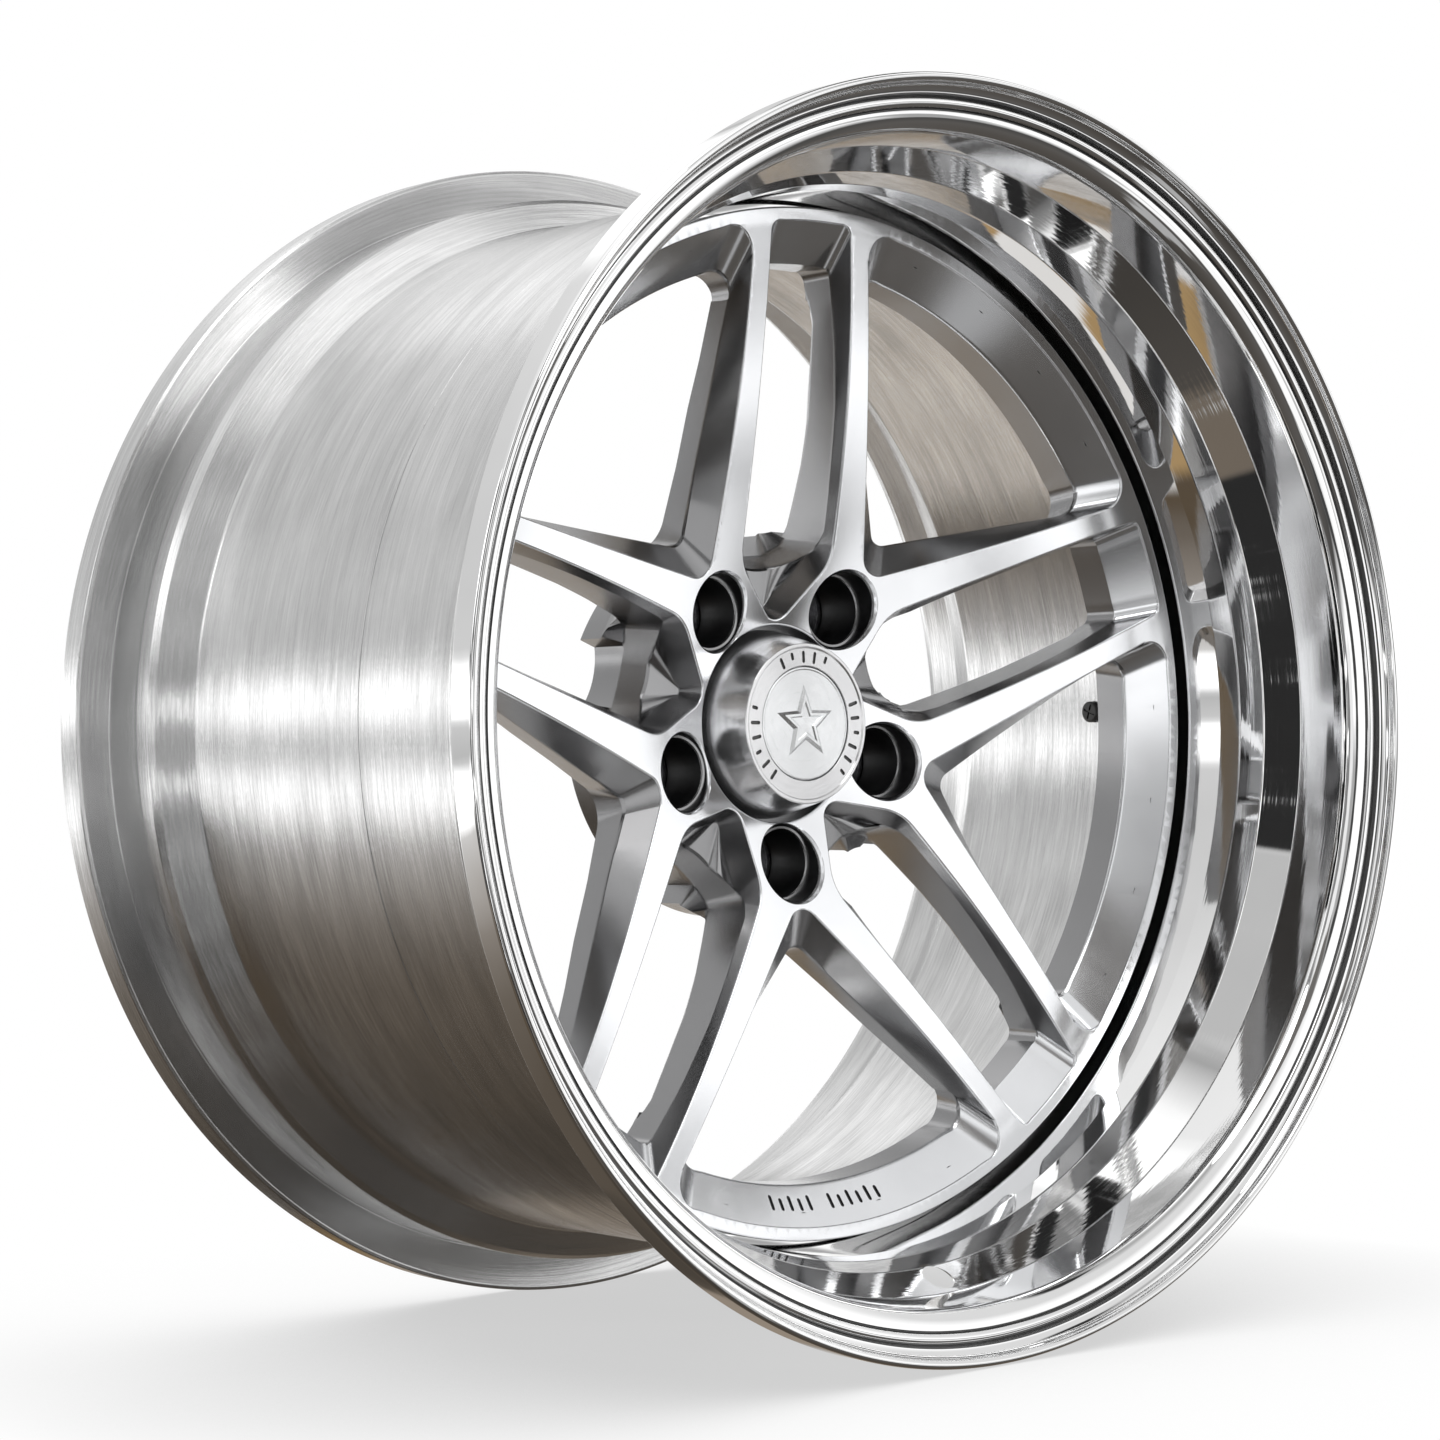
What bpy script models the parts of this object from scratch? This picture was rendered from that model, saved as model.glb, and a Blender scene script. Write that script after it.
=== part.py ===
"""Forged three-piece racing wheel rim, 18 x 10J, 5 x 114.3, modelled piece by piece.

The spin axis is Y. The origin is on that axis, half-way through the rim's width, with the
front (show) side towards -Y and the hub side towards +Y. Depths (d) below run backwards from
the front of the outer lip, and radii (r) from the spin axis, both in millimetres.
"""
from math import atan2, cos, hypot, pi, radians, sin, sqrt, tan

import bmesh
import bpy
import numpy as np
from mathutils import Matrix, Vector

# ---------------------------------------------------------------- driving dimensions (mm)
MM = 0.001
RIM_WIDTH = 277.8            # over the two flanges: 10 inches between beads plus the flanges
FLANGE_R = 246.1             # rim flange outer radius
SEGMENTS = 48                # facets round a large turned piece
SPOKE_PAIRS = 5
PAIR_ANGLE = 92.0            # axis of the first spoke pair, degrees from +X towards +Z
STEP_ANGLE = 360.0 / SPOKE_PAIRS
GAP = 0.3                    # clearance between touching pieces
CLEAR_FRONT = 80.0           # depths clear of the centre, where its cutters end
CLEAR_BACK = 180.0

RING_R = 207.6               # outer radius of the centre's ring
RING_FRONT = 93.0            # depth of the ring's front face
RING_BACK = 108.0
BAND_R = 202.0               # inner edge of the ring's flat front band
SKIRT_OUT_R = 191.5
WINDOW_R = 186.1             # outer wall of every window
SKIRT_BACK = 121.3
PAD_R = 80.0                 # hub pad that meets the car's hub
PAD_BACK = 165.0
BORE_R = 36.55
CAP_SEAT_R = 40.5
CAP_SEAT_D = 136.5

LUG_CIRCLE_R = 57.15
LUG_BORE_R = 15.2
LUG_MOUTH_R = 16.4
LUG_SEAT_D = 158.0
STUD_R = 7.5
SEAT_FRONT = 150.2           # lug seat: front face, and the small end of its cone
SEAT_CONE_D = 156.0
SEAT_CONE_R = 12.6

WINDOW_CORNER_R = 5.0        # corners at the ring of the windows between a pair's spokes
OPEN_CORNER_R = 10.0         # and of the wide windows between two pairs
POCKET_HALF = 14.0           # pocket behind each pair window, between two lug bosses
POCKET_REACH = 82.0
POCKET_FLOOR = 150.6
POCKET_SPLIT = 9             # outline points up to here belong to the pocket
RELIEF_WIDTH = 9.0           # how much the cutter widens behind the spokes
RELIEF_END = 170.0
RELIEF_DEPTH = 6.0

BOLTS = 30
BOLT_CIRCLE_R = 200.3
BOLT_R = 3.5
BOLT_HEAD_R = 6.4
BOLT_HEAD_LENGTH = 6.2
BOLT_TIP_D = 98.0
BOLT_HOLE_R = BOLT_R + 0.4
FIRST_BOLT_TURN = 6.0        # degrees from the first pair's axis

FLANGE_IN_R = 192.2          # inner radius of the two bolted rim flanges
BARREL_R = 215.5             # outside of the barrel, between bead seats
BARREL_BORE_R = 211.0
LIP_FLANGE = (RING_BACK + GAP, 112.3)
BARREL_FLANGE = (112.3 + GAP, 116.8)

VALVE_ANGLE = -87.5
VALVE_HOLE_R = 5.75
PLUG_ANGLE = 1.6
PLUG_D = 148.0
PLUG_R = 3.8
PLUG_HOLE_R = 4.1
PLUG_HEAD_R = 4.8

SEAL_GROOVE = (208.5, 212.1)  # radii of the groove in the lip's flange
SEAL_GROOVE_DEPTH = 1.7
SEAL_SLACK = 0.4


def y_of(depth):
    """World Y in metres of a depth in millimetres."""
    return (depth - RIM_WIDTH / 2) * MM


def point(radius, angle, depth):
    """World point from a radius, an angle in degrees and a depth."""
    a = radians(angle)
    return Vector((radius * cos(a) * MM, y_of(depth), radius * sin(a) * MM))


# ---------------------------------------------------------------- mesh helpers
def material(name, colour, metallic, roughness):
    mat = bpy.data.materials.new(name)
    mat.use_nodes = True
    bsdf = mat.node_tree.nodes["Principled BSDF"]
    bsdf.inputs["Base Color"].default_value = (*colour, 1.0)
    bsdf.inputs["Metallic"].default_value = metallic
    bsdf.inputs["Roughness"].default_value = roughness
    mat.diffuse_color = (*colour, 1.0)
    return mat


def finish_mesh(name, bm, mat):
    """Turn a closed bmesh into a named object with outward faces and smooth round sides."""
    bmesh.ops.recalc_face_normals(bm, faces=bm.faces)
    mesh = bpy.data.meshes.new(name)
    bm.to_mesh(mesh)
    bm.free()
    mesh.shade_smooth()
    mesh.set_sharp_from_angle(angle=radians(32))
    obj = bpy.data.objects.new(name, mesh)
    bpy.context.scene.collection.objects.link(obj)
    if mat is not None:
        mesh.materials.append(mat)
    return obj


def loft(rings, cap_ends=False, closed=False):
    """Join rings of equally many points with quads, capped at both ends or closed on itself."""
    bm = bmesh.new()
    rows = [[bm.verts.new(p) for p in ring] for ring in rings]
    pairs = list(zip(rows, rows[1:]))
    if closed:
        pairs.append((rows[-1], rows[0]))
    for a, b in pairs:
        for i in range(len(a)):
            j = (i + 1) % len(a)
            bm.faces.new((a[i], a[j], b[j], b[i]))
    if cap_ends:
        bm.faces.new(rows[0])
        bm.faces.new(rows[-1])
    return bm


def lathe(name, profile, mat, segments=SEGMENTS, on_axis=False):
    """Turn a profile of (radius, depth) points about the spin axis.

    A profile that starts and ends on the axis is closed there with a small disc of facets.
    """
    turns = [360.0 * i / segments for i in range(segments)]
    if not on_axis:
        rings = [[point(r, a, d) for a in turns] for r, d in profile]
        return finish_mesh(name, loft(rings, closed=True), mat)
    rings = [[point(r, a, d) for a in turns] for r, d in profile[1:-1]]
    bm = loft(rings)
    bm.verts.ensure_lookup_table()
    for (r, d), row in ((profile[0], 0), (profile[-1], len(rings) - 1)):
        tip = bm.verts.new(point(r, 0, d))
        bm.verts.ensure_lookup_table()
        start = row * segments
        for i in range(segments):
            bm.faces.new((tip, bm.verts[start + i], bm.verts[start + (i + 1) % segments]))
    return finish_mesh(name, bm, mat)


def rod(name, start, end, radius, sides, mat):
    """Straight prism of so many sides between two world points, radius in millimetres."""
    axis = (end - start).normalized()
    across = axis.orthogonal().normalized()
    if abs(axis.y) > 0.99:
        across = Vector((1, 0, 0))
    spins = [Matrix.Rotation(2 * pi * i / sides, 3, axis) @ across * radius * MM
             for i in range(sides)]
    rings = [[end_point + s for s in spins] for end_point in (start, end)]
    return finish_mesh(name, loft(rings, cap_ends=True), mat)


def boolean(obj, tool, operation):
    """Cut or join with the exact solver at once, and drop the tool."""
    mod = obj.modifiers.new("cut", 'BOOLEAN')
    mod.operation = operation
    mod.object = tool
    mod.solver = 'EXACT'
    depsgraph = bpy.context.evaluated_depsgraph_get()
    mesh = bpy.data.meshes.new_from_object(obj.evaluated_get(depsgraph))
    obj.modifiers.clear()
    obj.data = mesh
    bpy.data.objects.remove(tool)


def cut(obj, *tools):
    for tool in tools:
        boolean(obj, tool, 'DIFFERENCE')


def rounded_corner(before, corner, after, radius, steps):
    """Points of the fillet that rounds a corner between two straight lines."""
    c = Vector(corner)
    a = (Vector(before) - c).normalized()
    b = (Vector(after) - c).normalized()
    half = a.angle(b) / 2
    middle = c + (a + b).normalized() * radius / sin(half)
    start = c + a * radius / tan(half) - middle
    turn = start.angle_signed(c + b * radius / tan(half) - middle)
    return [tuple(middle + Matrix.Rotation(-turn * i / steps, 2) @ start)
            for i in range(steps + 1)]


# ---------------------------------------------------------------- wheel centre
def face_depth(radius):
    """The spoke faces sweep back from the ring to the hub in a shallow parabola."""
    inward = BAND_R - radius
    return RING_FRONT + 0.0747 * inward + 0.000776 * inward * inward


def hub_depth(radius):
    """Depth of the parting edge of a spoke-pair window: level at the ring, deep at the hub."""
    return float(np.interp(radius, [47, 65, 74, 80, 107, 130, 157, 186],
                           [133.5, 134.5, 123, 117, 111.5, 107.5, 105.2, 105.0]))


def pair_face_half(u):
    """Half-width of the window between a pair's spokes, at the face."""
    return 24.3 - 3.3 * max(0.0, (u - 74) / 127) ** 2.2


def pair_edge_half(u):
    """Half-width of the same window at its parting edge, its narrowest depth."""
    s = (u - 74) / 112
    return 21.3 + 4.6 * s - 7.1 * s * s


def pair_back_half(u):
    """Half-width of the same window at the back of the spokes."""
    return 20.6 - 1.6 * max(0.0, (u - 90) / 96) ** 1.5


def outer_face_side(u):
    """Side offset of a spoke's outer edge at the face, from the pair's axis."""
    s = (u - 74) / 127
    return 40.6 - 13.5 * s + 3.5 * s * s


def ring_arc(radius, side, steps):
    """Points along a circle about the spin axis, from an offset to the window's axis."""
    angles = np.linspace(atan2(side, sqrt(radius * radius - side * side)), 0, steps + 1)
    return [(radius * cos(a), radius * sin(a)) for a in angles]


def pair_window_half(apex, shoulder, side_of, outer_r, stations, straight_end=False):
    """Half outline (u, v) of a window between a pair's spokes, from its apex to the ring.

    The inner end is a V that follows the lug bosses or, for straight_end, a wide arc.
    """
    apex_u, apex_r = apex
    shoulder_u, shoulder_r = shoulder
    shoulder_v = side_of(shoulder_u)
    count = 3
    if straight_end:
        rise = shoulder_u - apex_u
        radius = (rise * rise + shoulder_v * shoulder_v) / (2 * rise)
        sweep = atan2(shoulder_v, radius - rise)
        half = [(apex_u + radius * (1 - cos(sweep * i / (2 * count))),
                 radius * sin(sweep * i / (2 * count))) for i in range(2 * count)]
    else:
        slope = atan2(shoulder_v, shoulder_u - apex_u)
        centre = apex_u + apex_r / sin(slope)
        nose = [(centre - apex_r * cos(t), apex_r * sin(t))
                for t in np.linspace(0, pi / 2 - slope, count)]
        line_start = np.array(nose[-1])
        line_end = np.array((shoulder_u - shoulder_r * tan(slope / 2) * cos(slope),
                             shoulder_v - shoulder_r * tan(slope / 2) * sin(slope)))
        half = nose + [tuple(line_start + (line_end - line_start) * s)
                       for s in np.linspace(0.25, 0.85, count)]
    before = half[-1]
    after = (shoulder_u + 40, side_of(shoulder_u + 40))
    half += rounded_corner(before, (shoulder_u, shoulder_v), after, shoulder_r, 2)
    half += [(u, side_of(u)) for u in stations]
    corner_u = sqrt(outer_r ** 2 - side_of(outer_r) ** 2)
    corner = (corner_u, side_of(corner_u))
    half += rounded_corner(half[-1], corner, (corner_u + 3, 0), WINDOW_CORNER_R, 2)
    half += ring_arc(outer_r, side_of(corner_u) - WINDOW_CORNER_R - 1.5, 1)
    return half


def mirrored(half):
    """Whole outline from a half whose first and last points lie on the window's axis."""
    return half + [(p[0], -p[1], *p[2:]) for p in half[-2:0:-1]]


def place(ring, axis_angle):
    """World points of (u, v, depth) points in a window's own frame."""
    a = radians(axis_angle)
    return [Vector(((u * cos(a) - v * sin(a)) * MM, y_of(d), (u * sin(a) + v * cos(a)) * MM))
            for u, v, d in ring]


def at_depth(half, depth_of, extra=0.0):
    """Outline points set at the depth a law gives for their radius."""
    return [(u, v, depth_of(hypot(u, v)) + extra) for u, v in half]


def pair_window_tool(axis_angle):
    """Cutter for the window between a pair's spokes, with the pocket between two lug bosses."""
    stations = (94, 118, 150)
    face = pair_window_half((39.5, 7.5), (66.3, 20.0), pair_face_half, BAND_R, stations)
    edge = pair_window_half((47.0, 2.5), (71.0, 8.0), pair_edge_half, WINDOW_R, stations)
    sill = pair_window_half((64.0, 0), (71.2, 8.0), pair_edge_half, WINDOW_R, stations,
                            straight_end=True)
    back = pair_window_half((68.0, 0), (75.0, 5.0), pair_back_half, WINDOW_R, stations,
                            straight_end=True)
    levels = [
        [(u, v, CLEAR_FRONT) for u, v in face],
        at_depth(face, face_depth),
        at_depth(edge, hub_depth),
        at_depth(sill, hub_depth, 0.6),
        at_depth(back, pair_back_depth),
    ]
    notch = []
    for i, (u, v) in enumerate(back):
        if i < POCKET_SPLIT:
            reach = u if v < POCKET_HALF else POCKET_REACH
            notch.append((reach, min(v, POCKET_HALF + 0.05 * i), POCKET_FLOOR))
        else:
            widen = RELIEF_WIDTH if u < RELIEF_END else 0.0
            notch.append((u, v + widen, spoke_back_depth(hypot(u, v)) + RELIEF_DEPTH))
    levels.append(notch)
    levels.append([(u, v, CLEAR_BACK) for u, v, d in notch])
    rings = [place(mirrored(level), axis_angle) for level in levels]
    return finish_mesh("pair_window_tool", loft(rings, cap_ends=True), None)


def pair_back_depth(radius):
    """Depth of the back edge of the window between a pair's spokes."""
    return float(np.interp(radius, [68, 78, 92, 109, 127, 166, 186],
                           [148.5, 142, 135.7, 128.5, 123, 117, 121.3]))


def spoke_back_depth(radius):
    """Depth of the back of the spokes on the centre line of the turned blank."""
    return float(np.interp(radius, [84, 94, 115, 135, 153, 176, 186],
                           [140, 135.5, 130.3, 127.3, 123.4, 120, 121.3]))


def open_window_half(apex_u, apex_r, side_of, u_range, outer_r):
    """Half outline of the window between two pairs, in the frame of its own (lug) axis.

    side_of gives the spoke's side line in the frame of the neighbouring pair's axis.
    """
    turn = radians(STEP_ANGLE / 2)
    line = []
    for u in np.linspace(*u_range, 5):
        v = side_of(u)
        line.append((u * cos(turn) + v * sin(turn), u * sin(turn) - v * cos(turn)))
    nose = [(apex_u + apex_r * (1 - cos(t)), apex_r * sin(t)) for t in np.radians([0, 22, 45])]
    before, corner = line[-2], line[-1]
    reach = hypot(*corner)
    corner = (corner[0] * outer_r / reach, corner[1] * outer_r / reach)
    tangent = (corner[0] + corner[1], corner[1] - corner[0])
    half = nose + line[:-1]
    half += rounded_corner(before, corner, tangent, OPEN_CORNER_R, 3)
    last = half[-1]
    start = atan2(last[1], last[0])
    half += [(outer_r * cos(start * s), outer_r * sin(start * s))
             for s in (0.75, 0.5, 0.25, 0.0)]
    return half


def outer_edge_side(u):
    """The same offset at the wide window's parting edge."""
    return 51.5 - 17.0 * (u - 77) / 91


def outer_back_side(u):
    """The same offset at the back of the spokes."""
    return 50.1 - 18.6 * (u - 80) / 93


def open_window_tool(axis_angle):
    """Cutter for the wide window between two spoke pairs."""
    face = open_window_half(76.0, 6.0, outer_face_side, (76, 201), BAND_R)
    edge = open_window_half(91.5, 5.0, outer_edge_side, (79, 180), WINDOW_R)
    back = open_window_half(93.0, 5.0, outer_back_side, (82, 181), WINDOW_R)
    levels = [
        [(u, v, CLEAR_FRONT) for u, v in face],
        at_depth(face, face_depth),
        at_depth(edge, open_edge_depth),
        at_depth(back, spoke_back_depth, 0.5),
        [(u, v, CLEAR_BACK) for u, v in back],
    ]
    rings = [place(mirrored(level), axis_angle) for level in levels]
    return finish_mesh("open_window_tool", loft(rings, cap_ends=True), None)


def open_edge_depth(radius):
    """Depth of the parting edge of a wide window."""
    return float(np.interp(radius, [92, 114, 135, 172, 186], [120.3, 117.3, 113.5, 107.7, 105]))


def centre_profile():
    """Turned blank of the wheel centre: bore, cap seat, swept face, ring, skirt, hub pad."""
    face = [(r, face_depth(r)) for r in (42.0, 62.0, 86.0, 114.0, 144.0, 174.0, BAND_R)]
    back = [(r, spoke_back_depth(r)) for r in (176.0, 135.0, 94.0, 84.0)]
    return [(BORE_R, PAD_BACK - 1), (BORE_R, CAP_SEAT_D), (CAP_SEAT_R, CAP_SEAT_D),
            (CAP_SEAT_R, face_depth(CAP_SEAT_R) + 1.2), *face,
            (RING_R - 0.8, RING_FRONT), (RING_R, RING_FRONT + 0.8), (RING_R, RING_BACK),
            (SKIRT_OUT_R, RING_BACK), (SKIRT_OUT_R, SKIRT_BACK), (WINDOW_R, SKIRT_BACK), *back,
            (80.8, 150.0), (PAD_R, 151.0), (PAD_R, PAD_BACK - 1), (PAD_R - 1, PAD_BACK),
            (BORE_R + 1, PAD_BACK)]


def lug_bore_tool(angle):
    """Lug bore with a chamfered mouth, a seat shoulder and a stud hole."""
    sides = 16
    mouth = face_depth(LUG_CIRCLE_R)
    steps = [(LUG_MOUTH_R + 7.0, mouth - 6.6), (LUG_MOUTH_R, mouth + 0.4),
             (LUG_BORE_R, mouth + 1.8), (LUG_BORE_R, LUG_SEAT_D), (STUD_R, LUG_SEAT_D),
             (STUD_R, PAD_BACK + 2)]
    rings = []
    for radius, depth in steps:
        ring = [(LUG_CIRCLE_R + radius * cos(2 * pi * i / sides),
                 radius * sin(2 * pi * i / sides), depth) for i in range(sides)]
        rings.append(place(ring, angle))
    return finish_mesh("lug_bore_tool", loft(rings, cap_ends=True), None)


def lug_angle(i):
    """Angle of a lug bore, half-way between two spoke pairs."""
    return PAIR_ANGLE - STEP_ANGLE / 2 + i * STEP_ANGLE


def bolt_angle(i):
    return PAIR_ANGLE + FIRST_BOLT_TURN + i * 360.0 / BOLTS


def bolt_holes_tool(start_depth, end_depth):
    """One cutter for the whole circle of bolt holes between two depths."""
    return joined([rod("bolt_hole_tool", point(BOLT_CIRCLE_R, bolt_angle(i), start_depth),
                       point(BOLT_CIRCLE_R, bolt_angle(i), end_depth), BOLT_HOLE_R, 6, None)
                   for i in range(BOLTS)])


def joined(tools):
    """One cutter made of separate closed bodies that don't touch."""
    first = tools[0]
    bm = bmesh.new()
    for tool in tools:
        bm.from_mesh(tool.data)
    bm.to_mesh(first.data)
    bm.free()
    for tool in tools[1:]:
        bpy.data.objects.remove(tool)
    return first


def make_wheel_centre(mat):
    centre = lathe("wheel_centre", centre_profile(), mat)
    for i in range(SPOKE_PAIRS):
        cut(centre, open_window_tool(lug_angle(i)))
        cut(centre, pair_window_tool(PAIR_ANGLE + i * STEP_ANGLE))
        cut(centre, lug_bore_tool(lug_angle(i)))
    cut(centre, bolt_holes_tool(BOLT_TIP_D - 0.5, RING_BACK + 2))
    return centre


# ---------------------------------------------------------------- rim halves
def lip_profile():
    """Outer lip: tip, polished step well, flange for the bolts, and the front bead seat."""
    inner = [(242.6, 0.0), (241.0, 6.0), (237.2, 7.0), (235.9, 8.4), (231.8, 9.6),
             (227.6, 12.0), (225.0, 16.5), (223.6, 35.7), (222.4, 37.8), (215.3, 50.6),
             (213.4, 57.0), (211.2, 68.0), (211.2, LIP_FLANGE[0])]
    front, back = LIP_FLANGE
    groove_in, groove_out = SEAL_GROOVE
    groove_floor = back - SEAL_GROOVE_DEPTH
    flange = [(FLANGE_IN_R, front), (FLANGE_IN_R, back), (groove_in, back),
              (groove_in, groove_floor), (groove_out, groove_floor), (groove_out, back),
              (BARREL_R, back)]
    outer = [(BARREL_R, 55.0), (218.5, 49.0), (229.6, 36.0), (228.6, 17.0), (230.0, 14.5),
             (243.6, 13.0), (FLANGE_R, 11.0), (FLANGE_R, 1.4), (245.0, 0.0)]
    return inner + flange + outer


def valve_hole_tool():
    """Cutter square to the lip's cone, where the valve stem passes."""
    cone = Vector((215.3 - 222.4, 50.6 - 37.8)).normalized()
    normal = Vector((-cone.y, cone.x))
    middle = Vector((218.8, 44.4))
    ends = [middle + normal * 12, middle - normal * 12]
    return rod("valve_hole_tool", point(ends[0].x, VALVE_ANGLE, ends[0].y),
               point(ends[1].x, VALVE_ANGLE, ends[1].y), VALVE_HOLE_R, 16, None)


def make_outer_lip(mat):
    lip = lathe("outer_lip", lip_profile(), mat)
    cut(lip, valve_hole_tool())
    cut(lip, bolt_holes_tool(LIP_FLANGE[0] - 3, LIP_FLANGE[1] + 3))
    return lip


def barrel_profile():
    """Inner barrel: bolted flange, plain drum, rear hump, bead seat and rear flange."""
    inner = [(BARREL_BORE_R, BARREL_FLANGE[1]), (BARREL_BORE_R, 229.0), (216.2, 235.0),
             (224.6, 249.0), (227.6, 268.7), (230.5, 274.5), (242.6, RIM_WIDTH)]
    outer = [(245.0, RIM_WIDTH), (FLANGE_R, 276.4), (FLANGE_R, 266.0), (244.6, 264.4),
             (229.2, 268.6), (228.6, 249.0), (229.8, 245.0), (228.6, 237.0), (216.5, 223.5),
             (BARREL_R, 215.0), (BARREL_R, BARREL_FLANGE[0])]
    flange = [(FLANGE_IN_R, BARREL_FLANGE[0]), (FLANGE_IN_R, BARREL_FLANGE[1])]
    return inner + outer + flange


def plug_frame():
    """Inward and outward ends of the plug's axis on the barrel wall."""
    return point(BARREL_BORE_R, PLUG_ANGLE, PLUG_D), point(BARREL_R, PLUG_ANGLE, PLUG_D)


def make_inner_barrel(mat):
    barrel = lathe("inner_barrel", barrel_profile(), mat)
    inside, outside = plug_frame()
    out = (outside - inside).normalized() * MM
    cut(barrel, rod("plug_hole_tool", inside - out * 5, outside + out * 5, PLUG_HOLE_R, 12,
                    None))
    cut(barrel, bolt_holes_tool(BARREL_FLANGE[0] - 3, BARREL_FLANGE[1] + 3))
    return barrel


def make_barrel_seal(mat):
    """Rubber ring between the rim halves, in the lip flange's groove."""
    inner, outer = SEAL_GROOVE[0] + SEAL_SLACK, SEAL_GROOVE[1] - SEAL_SLACK
    back = LIP_FLANGE[1]
    front = back - SEAL_GROOVE_DEPTH + GAP
    return lathe("barrel_seal", [(inner, front), (outer, front), (outer, back), (inner, back)],
                 mat)


def make_barrel_plug(mat):
    """Slotted blanking plug screwed into the barrel wall."""
    inside, outside = plug_frame()
    out = (outside - inside).normalized() * MM
    plug = rod("barrel_plug", inside - out * 1.4, outside - out * 1.0, PLUG_R, 12, mat)
    head = rod("plug_head_tool", inside - out * 2.6, inside - out * 0.9, PLUG_HEAD_R, 12, mat)
    boolean(plug, head, 'UNION')
    slot = bmesh.new()
    bmesh.ops.create_cube(slot, size=1.0)
    bmesh.ops.scale(slot, vec=Vector((2.0, 12.0, 1.1)) * MM, verts=slot.verts)
    tool = finish_mesh("plug_slot_tool", slot, None)
    place_at = Matrix.Translation(inside - out * 2.8)
    tool.data.transform(place_at @ Matrix.Rotation(radians(-PLUG_ANGLE), 4, 'Y'))
    cut(plug, tool)
    return plug


def bolt_mesh(mat):
    """Flange bolt: six-sided head behind the barrel flange, shank blind in the centre's ring."""
    head_front = BARREL_FLANGE[1] + GAP
    rings = []
    for radius, depth in ((BOLT_HEAD_R, head_front + BOLT_HEAD_LENGTH),
                          (BOLT_HEAD_R, head_front), (BOLT_R, head_front),
                          (BOLT_R, BOLT_TIP_D)):
        rings.append([Vector((radius * cos(pi * i / 3) * MM, y_of(depth),
                              radius * sin(pi * i / 3) * MM)) for i in range(6)])
    return finish_mesh("assembly_bolt_01", loft(rings, cap_ends=True), mat)


def copies(first, names):
    """The first object and linked copies of it under the given names."""
    objects = [first]
    for name in names:
        copy = bpy.data.objects.new(name, first.data)
        bpy.context.scene.collection.objects.link(copy)
        objects.append(copy)
    return objects


def make_assembly_bolts(mat):
    names = [f"assembly_bolt_{i + 1:02d}" for i in range(1, BOLTS)]
    for i, bolt in enumerate(copies(bolt_mesh(mat), names)):
        bolt.location = point(BOLT_CIRCLE_R, bolt_angle(i), RIM_WIDTH / 2)


# ---------------------------------------------------------------- hub hardware and cap
def make_lug_seats(mat):
    """Steel seat pressed into each lug bore, with the nut's 60 degree cone."""
    back = LUG_SEAT_D - GAP
    profile = [(STUD_R, back), (STUD_R, SEAT_CONE_D), (SEAT_CONE_R, SEAT_FRONT),
               (LUG_BORE_R - GAP, SEAT_FRONT), (LUG_BORE_R - GAP, back)]
    first = lathe("lug_seat_1", profile, mat, segments=16)
    names = [f"lug_seat_{i + 1}" for i in range(1, SPOKE_PAIRS)]
    for i, seat in enumerate(copies(first, names)):
        seat.location = point(LUG_CIRCLE_R, lug_angle(i), RIM_WIDTH / 2)


def make_cap(cap_mat, emblem_mat, ring_mat, rig):
    """Centre cap with its badge disc and O-ring, all on an empty that slides out forwards."""
    shell = [(0.0, 110.9), (23.4, 110.9), (23.4, 108.0), (31.6, 107.6), (33.0, 108.8),
             (35.2, 117.0), (39.0, 134.4), (38.7, CAP_SEAT_D - 0.4), (36.1, CAP_SEAT_D - 0.4),
             (36.1, 139.6), (34.5, 139.6), (34.5, 143.4), (36.1, 143.4), (35.3, 148.0),
             (31.0, 148.0), (31.0, 119.0), (0.0, 118.0)]
    badge = [(0.0, 108.3), (22.4, 108.3), (23.0, 108.9), (23.0, 110.5), (0.0, 110.5)]
    seal = [(34.9, 140.0), (35.9, 140.0), (36.25, 141.5), (35.9, 143.0), (34.9, 143.0)]
    pieces = [lathe("centre_cap", shell, cap_mat, 36, on_axis=True),
              lathe("cap_emblem", badge, emblem_mat, 36, on_axis=True),
              lathe("cap_oring", seal, ring_mat, 36)]
    for piece in pieces:
        piece.parent = rig


def main():
    for obj in list(bpy.data.objects):
        bpy.data.objects.remove(obj)
    polished = material("polished_aluminium", (0.86, 0.86, 0.87), 1.0, 0.06)
    brushed = material("brushed_aluminium", (0.72, 0.72, 0.73), 1.0, 0.34)
    forged = material("satin_aluminium", (0.70, 0.72, 0.75), 1.0, 0.28)
    steel = material("zinc_steel", (0.46, 0.47, 0.49), 1.0, 0.35)
    seat_steel = material("dark_seat_steel", (0.16, 0.16, 0.17), 1.0, 0.4)
    black = material("black_plug", (0.03, 0.03, 0.03), 0.0, 0.45)
    rubber = material("black_rubber", (0.02, 0.02, 0.02), 0.0, 0.7)
    cap_metal = material("cap_aluminium", (0.82, 0.82, 0.84), 1.0, 0.14)
    badge_metal = material("badge_aluminium", (0.85, 0.86, 0.88), 1.0, 0.22)
    make_outer_lip(polished)
    make_inner_barrel(brushed)
    make_wheel_centre(forged)
    make_barrel_seal(rubber)
    make_assembly_bolts(steel)
    make_lug_seats(seat_steel)
    make_barrel_plug(black)
    rig = bpy.data.objects.new("cap_slide", None)
    bpy.context.scene.collection.objects.link(rig)
    make_cap(cap_metal, badge_metal, rubber, rig)


main()
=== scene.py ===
from math import atan2, cos, hypot, pi, radians, sin, sqrt, tan

import bmesh
import bpy
import numpy as np
from mathutils import Matrix, Vector


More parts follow.
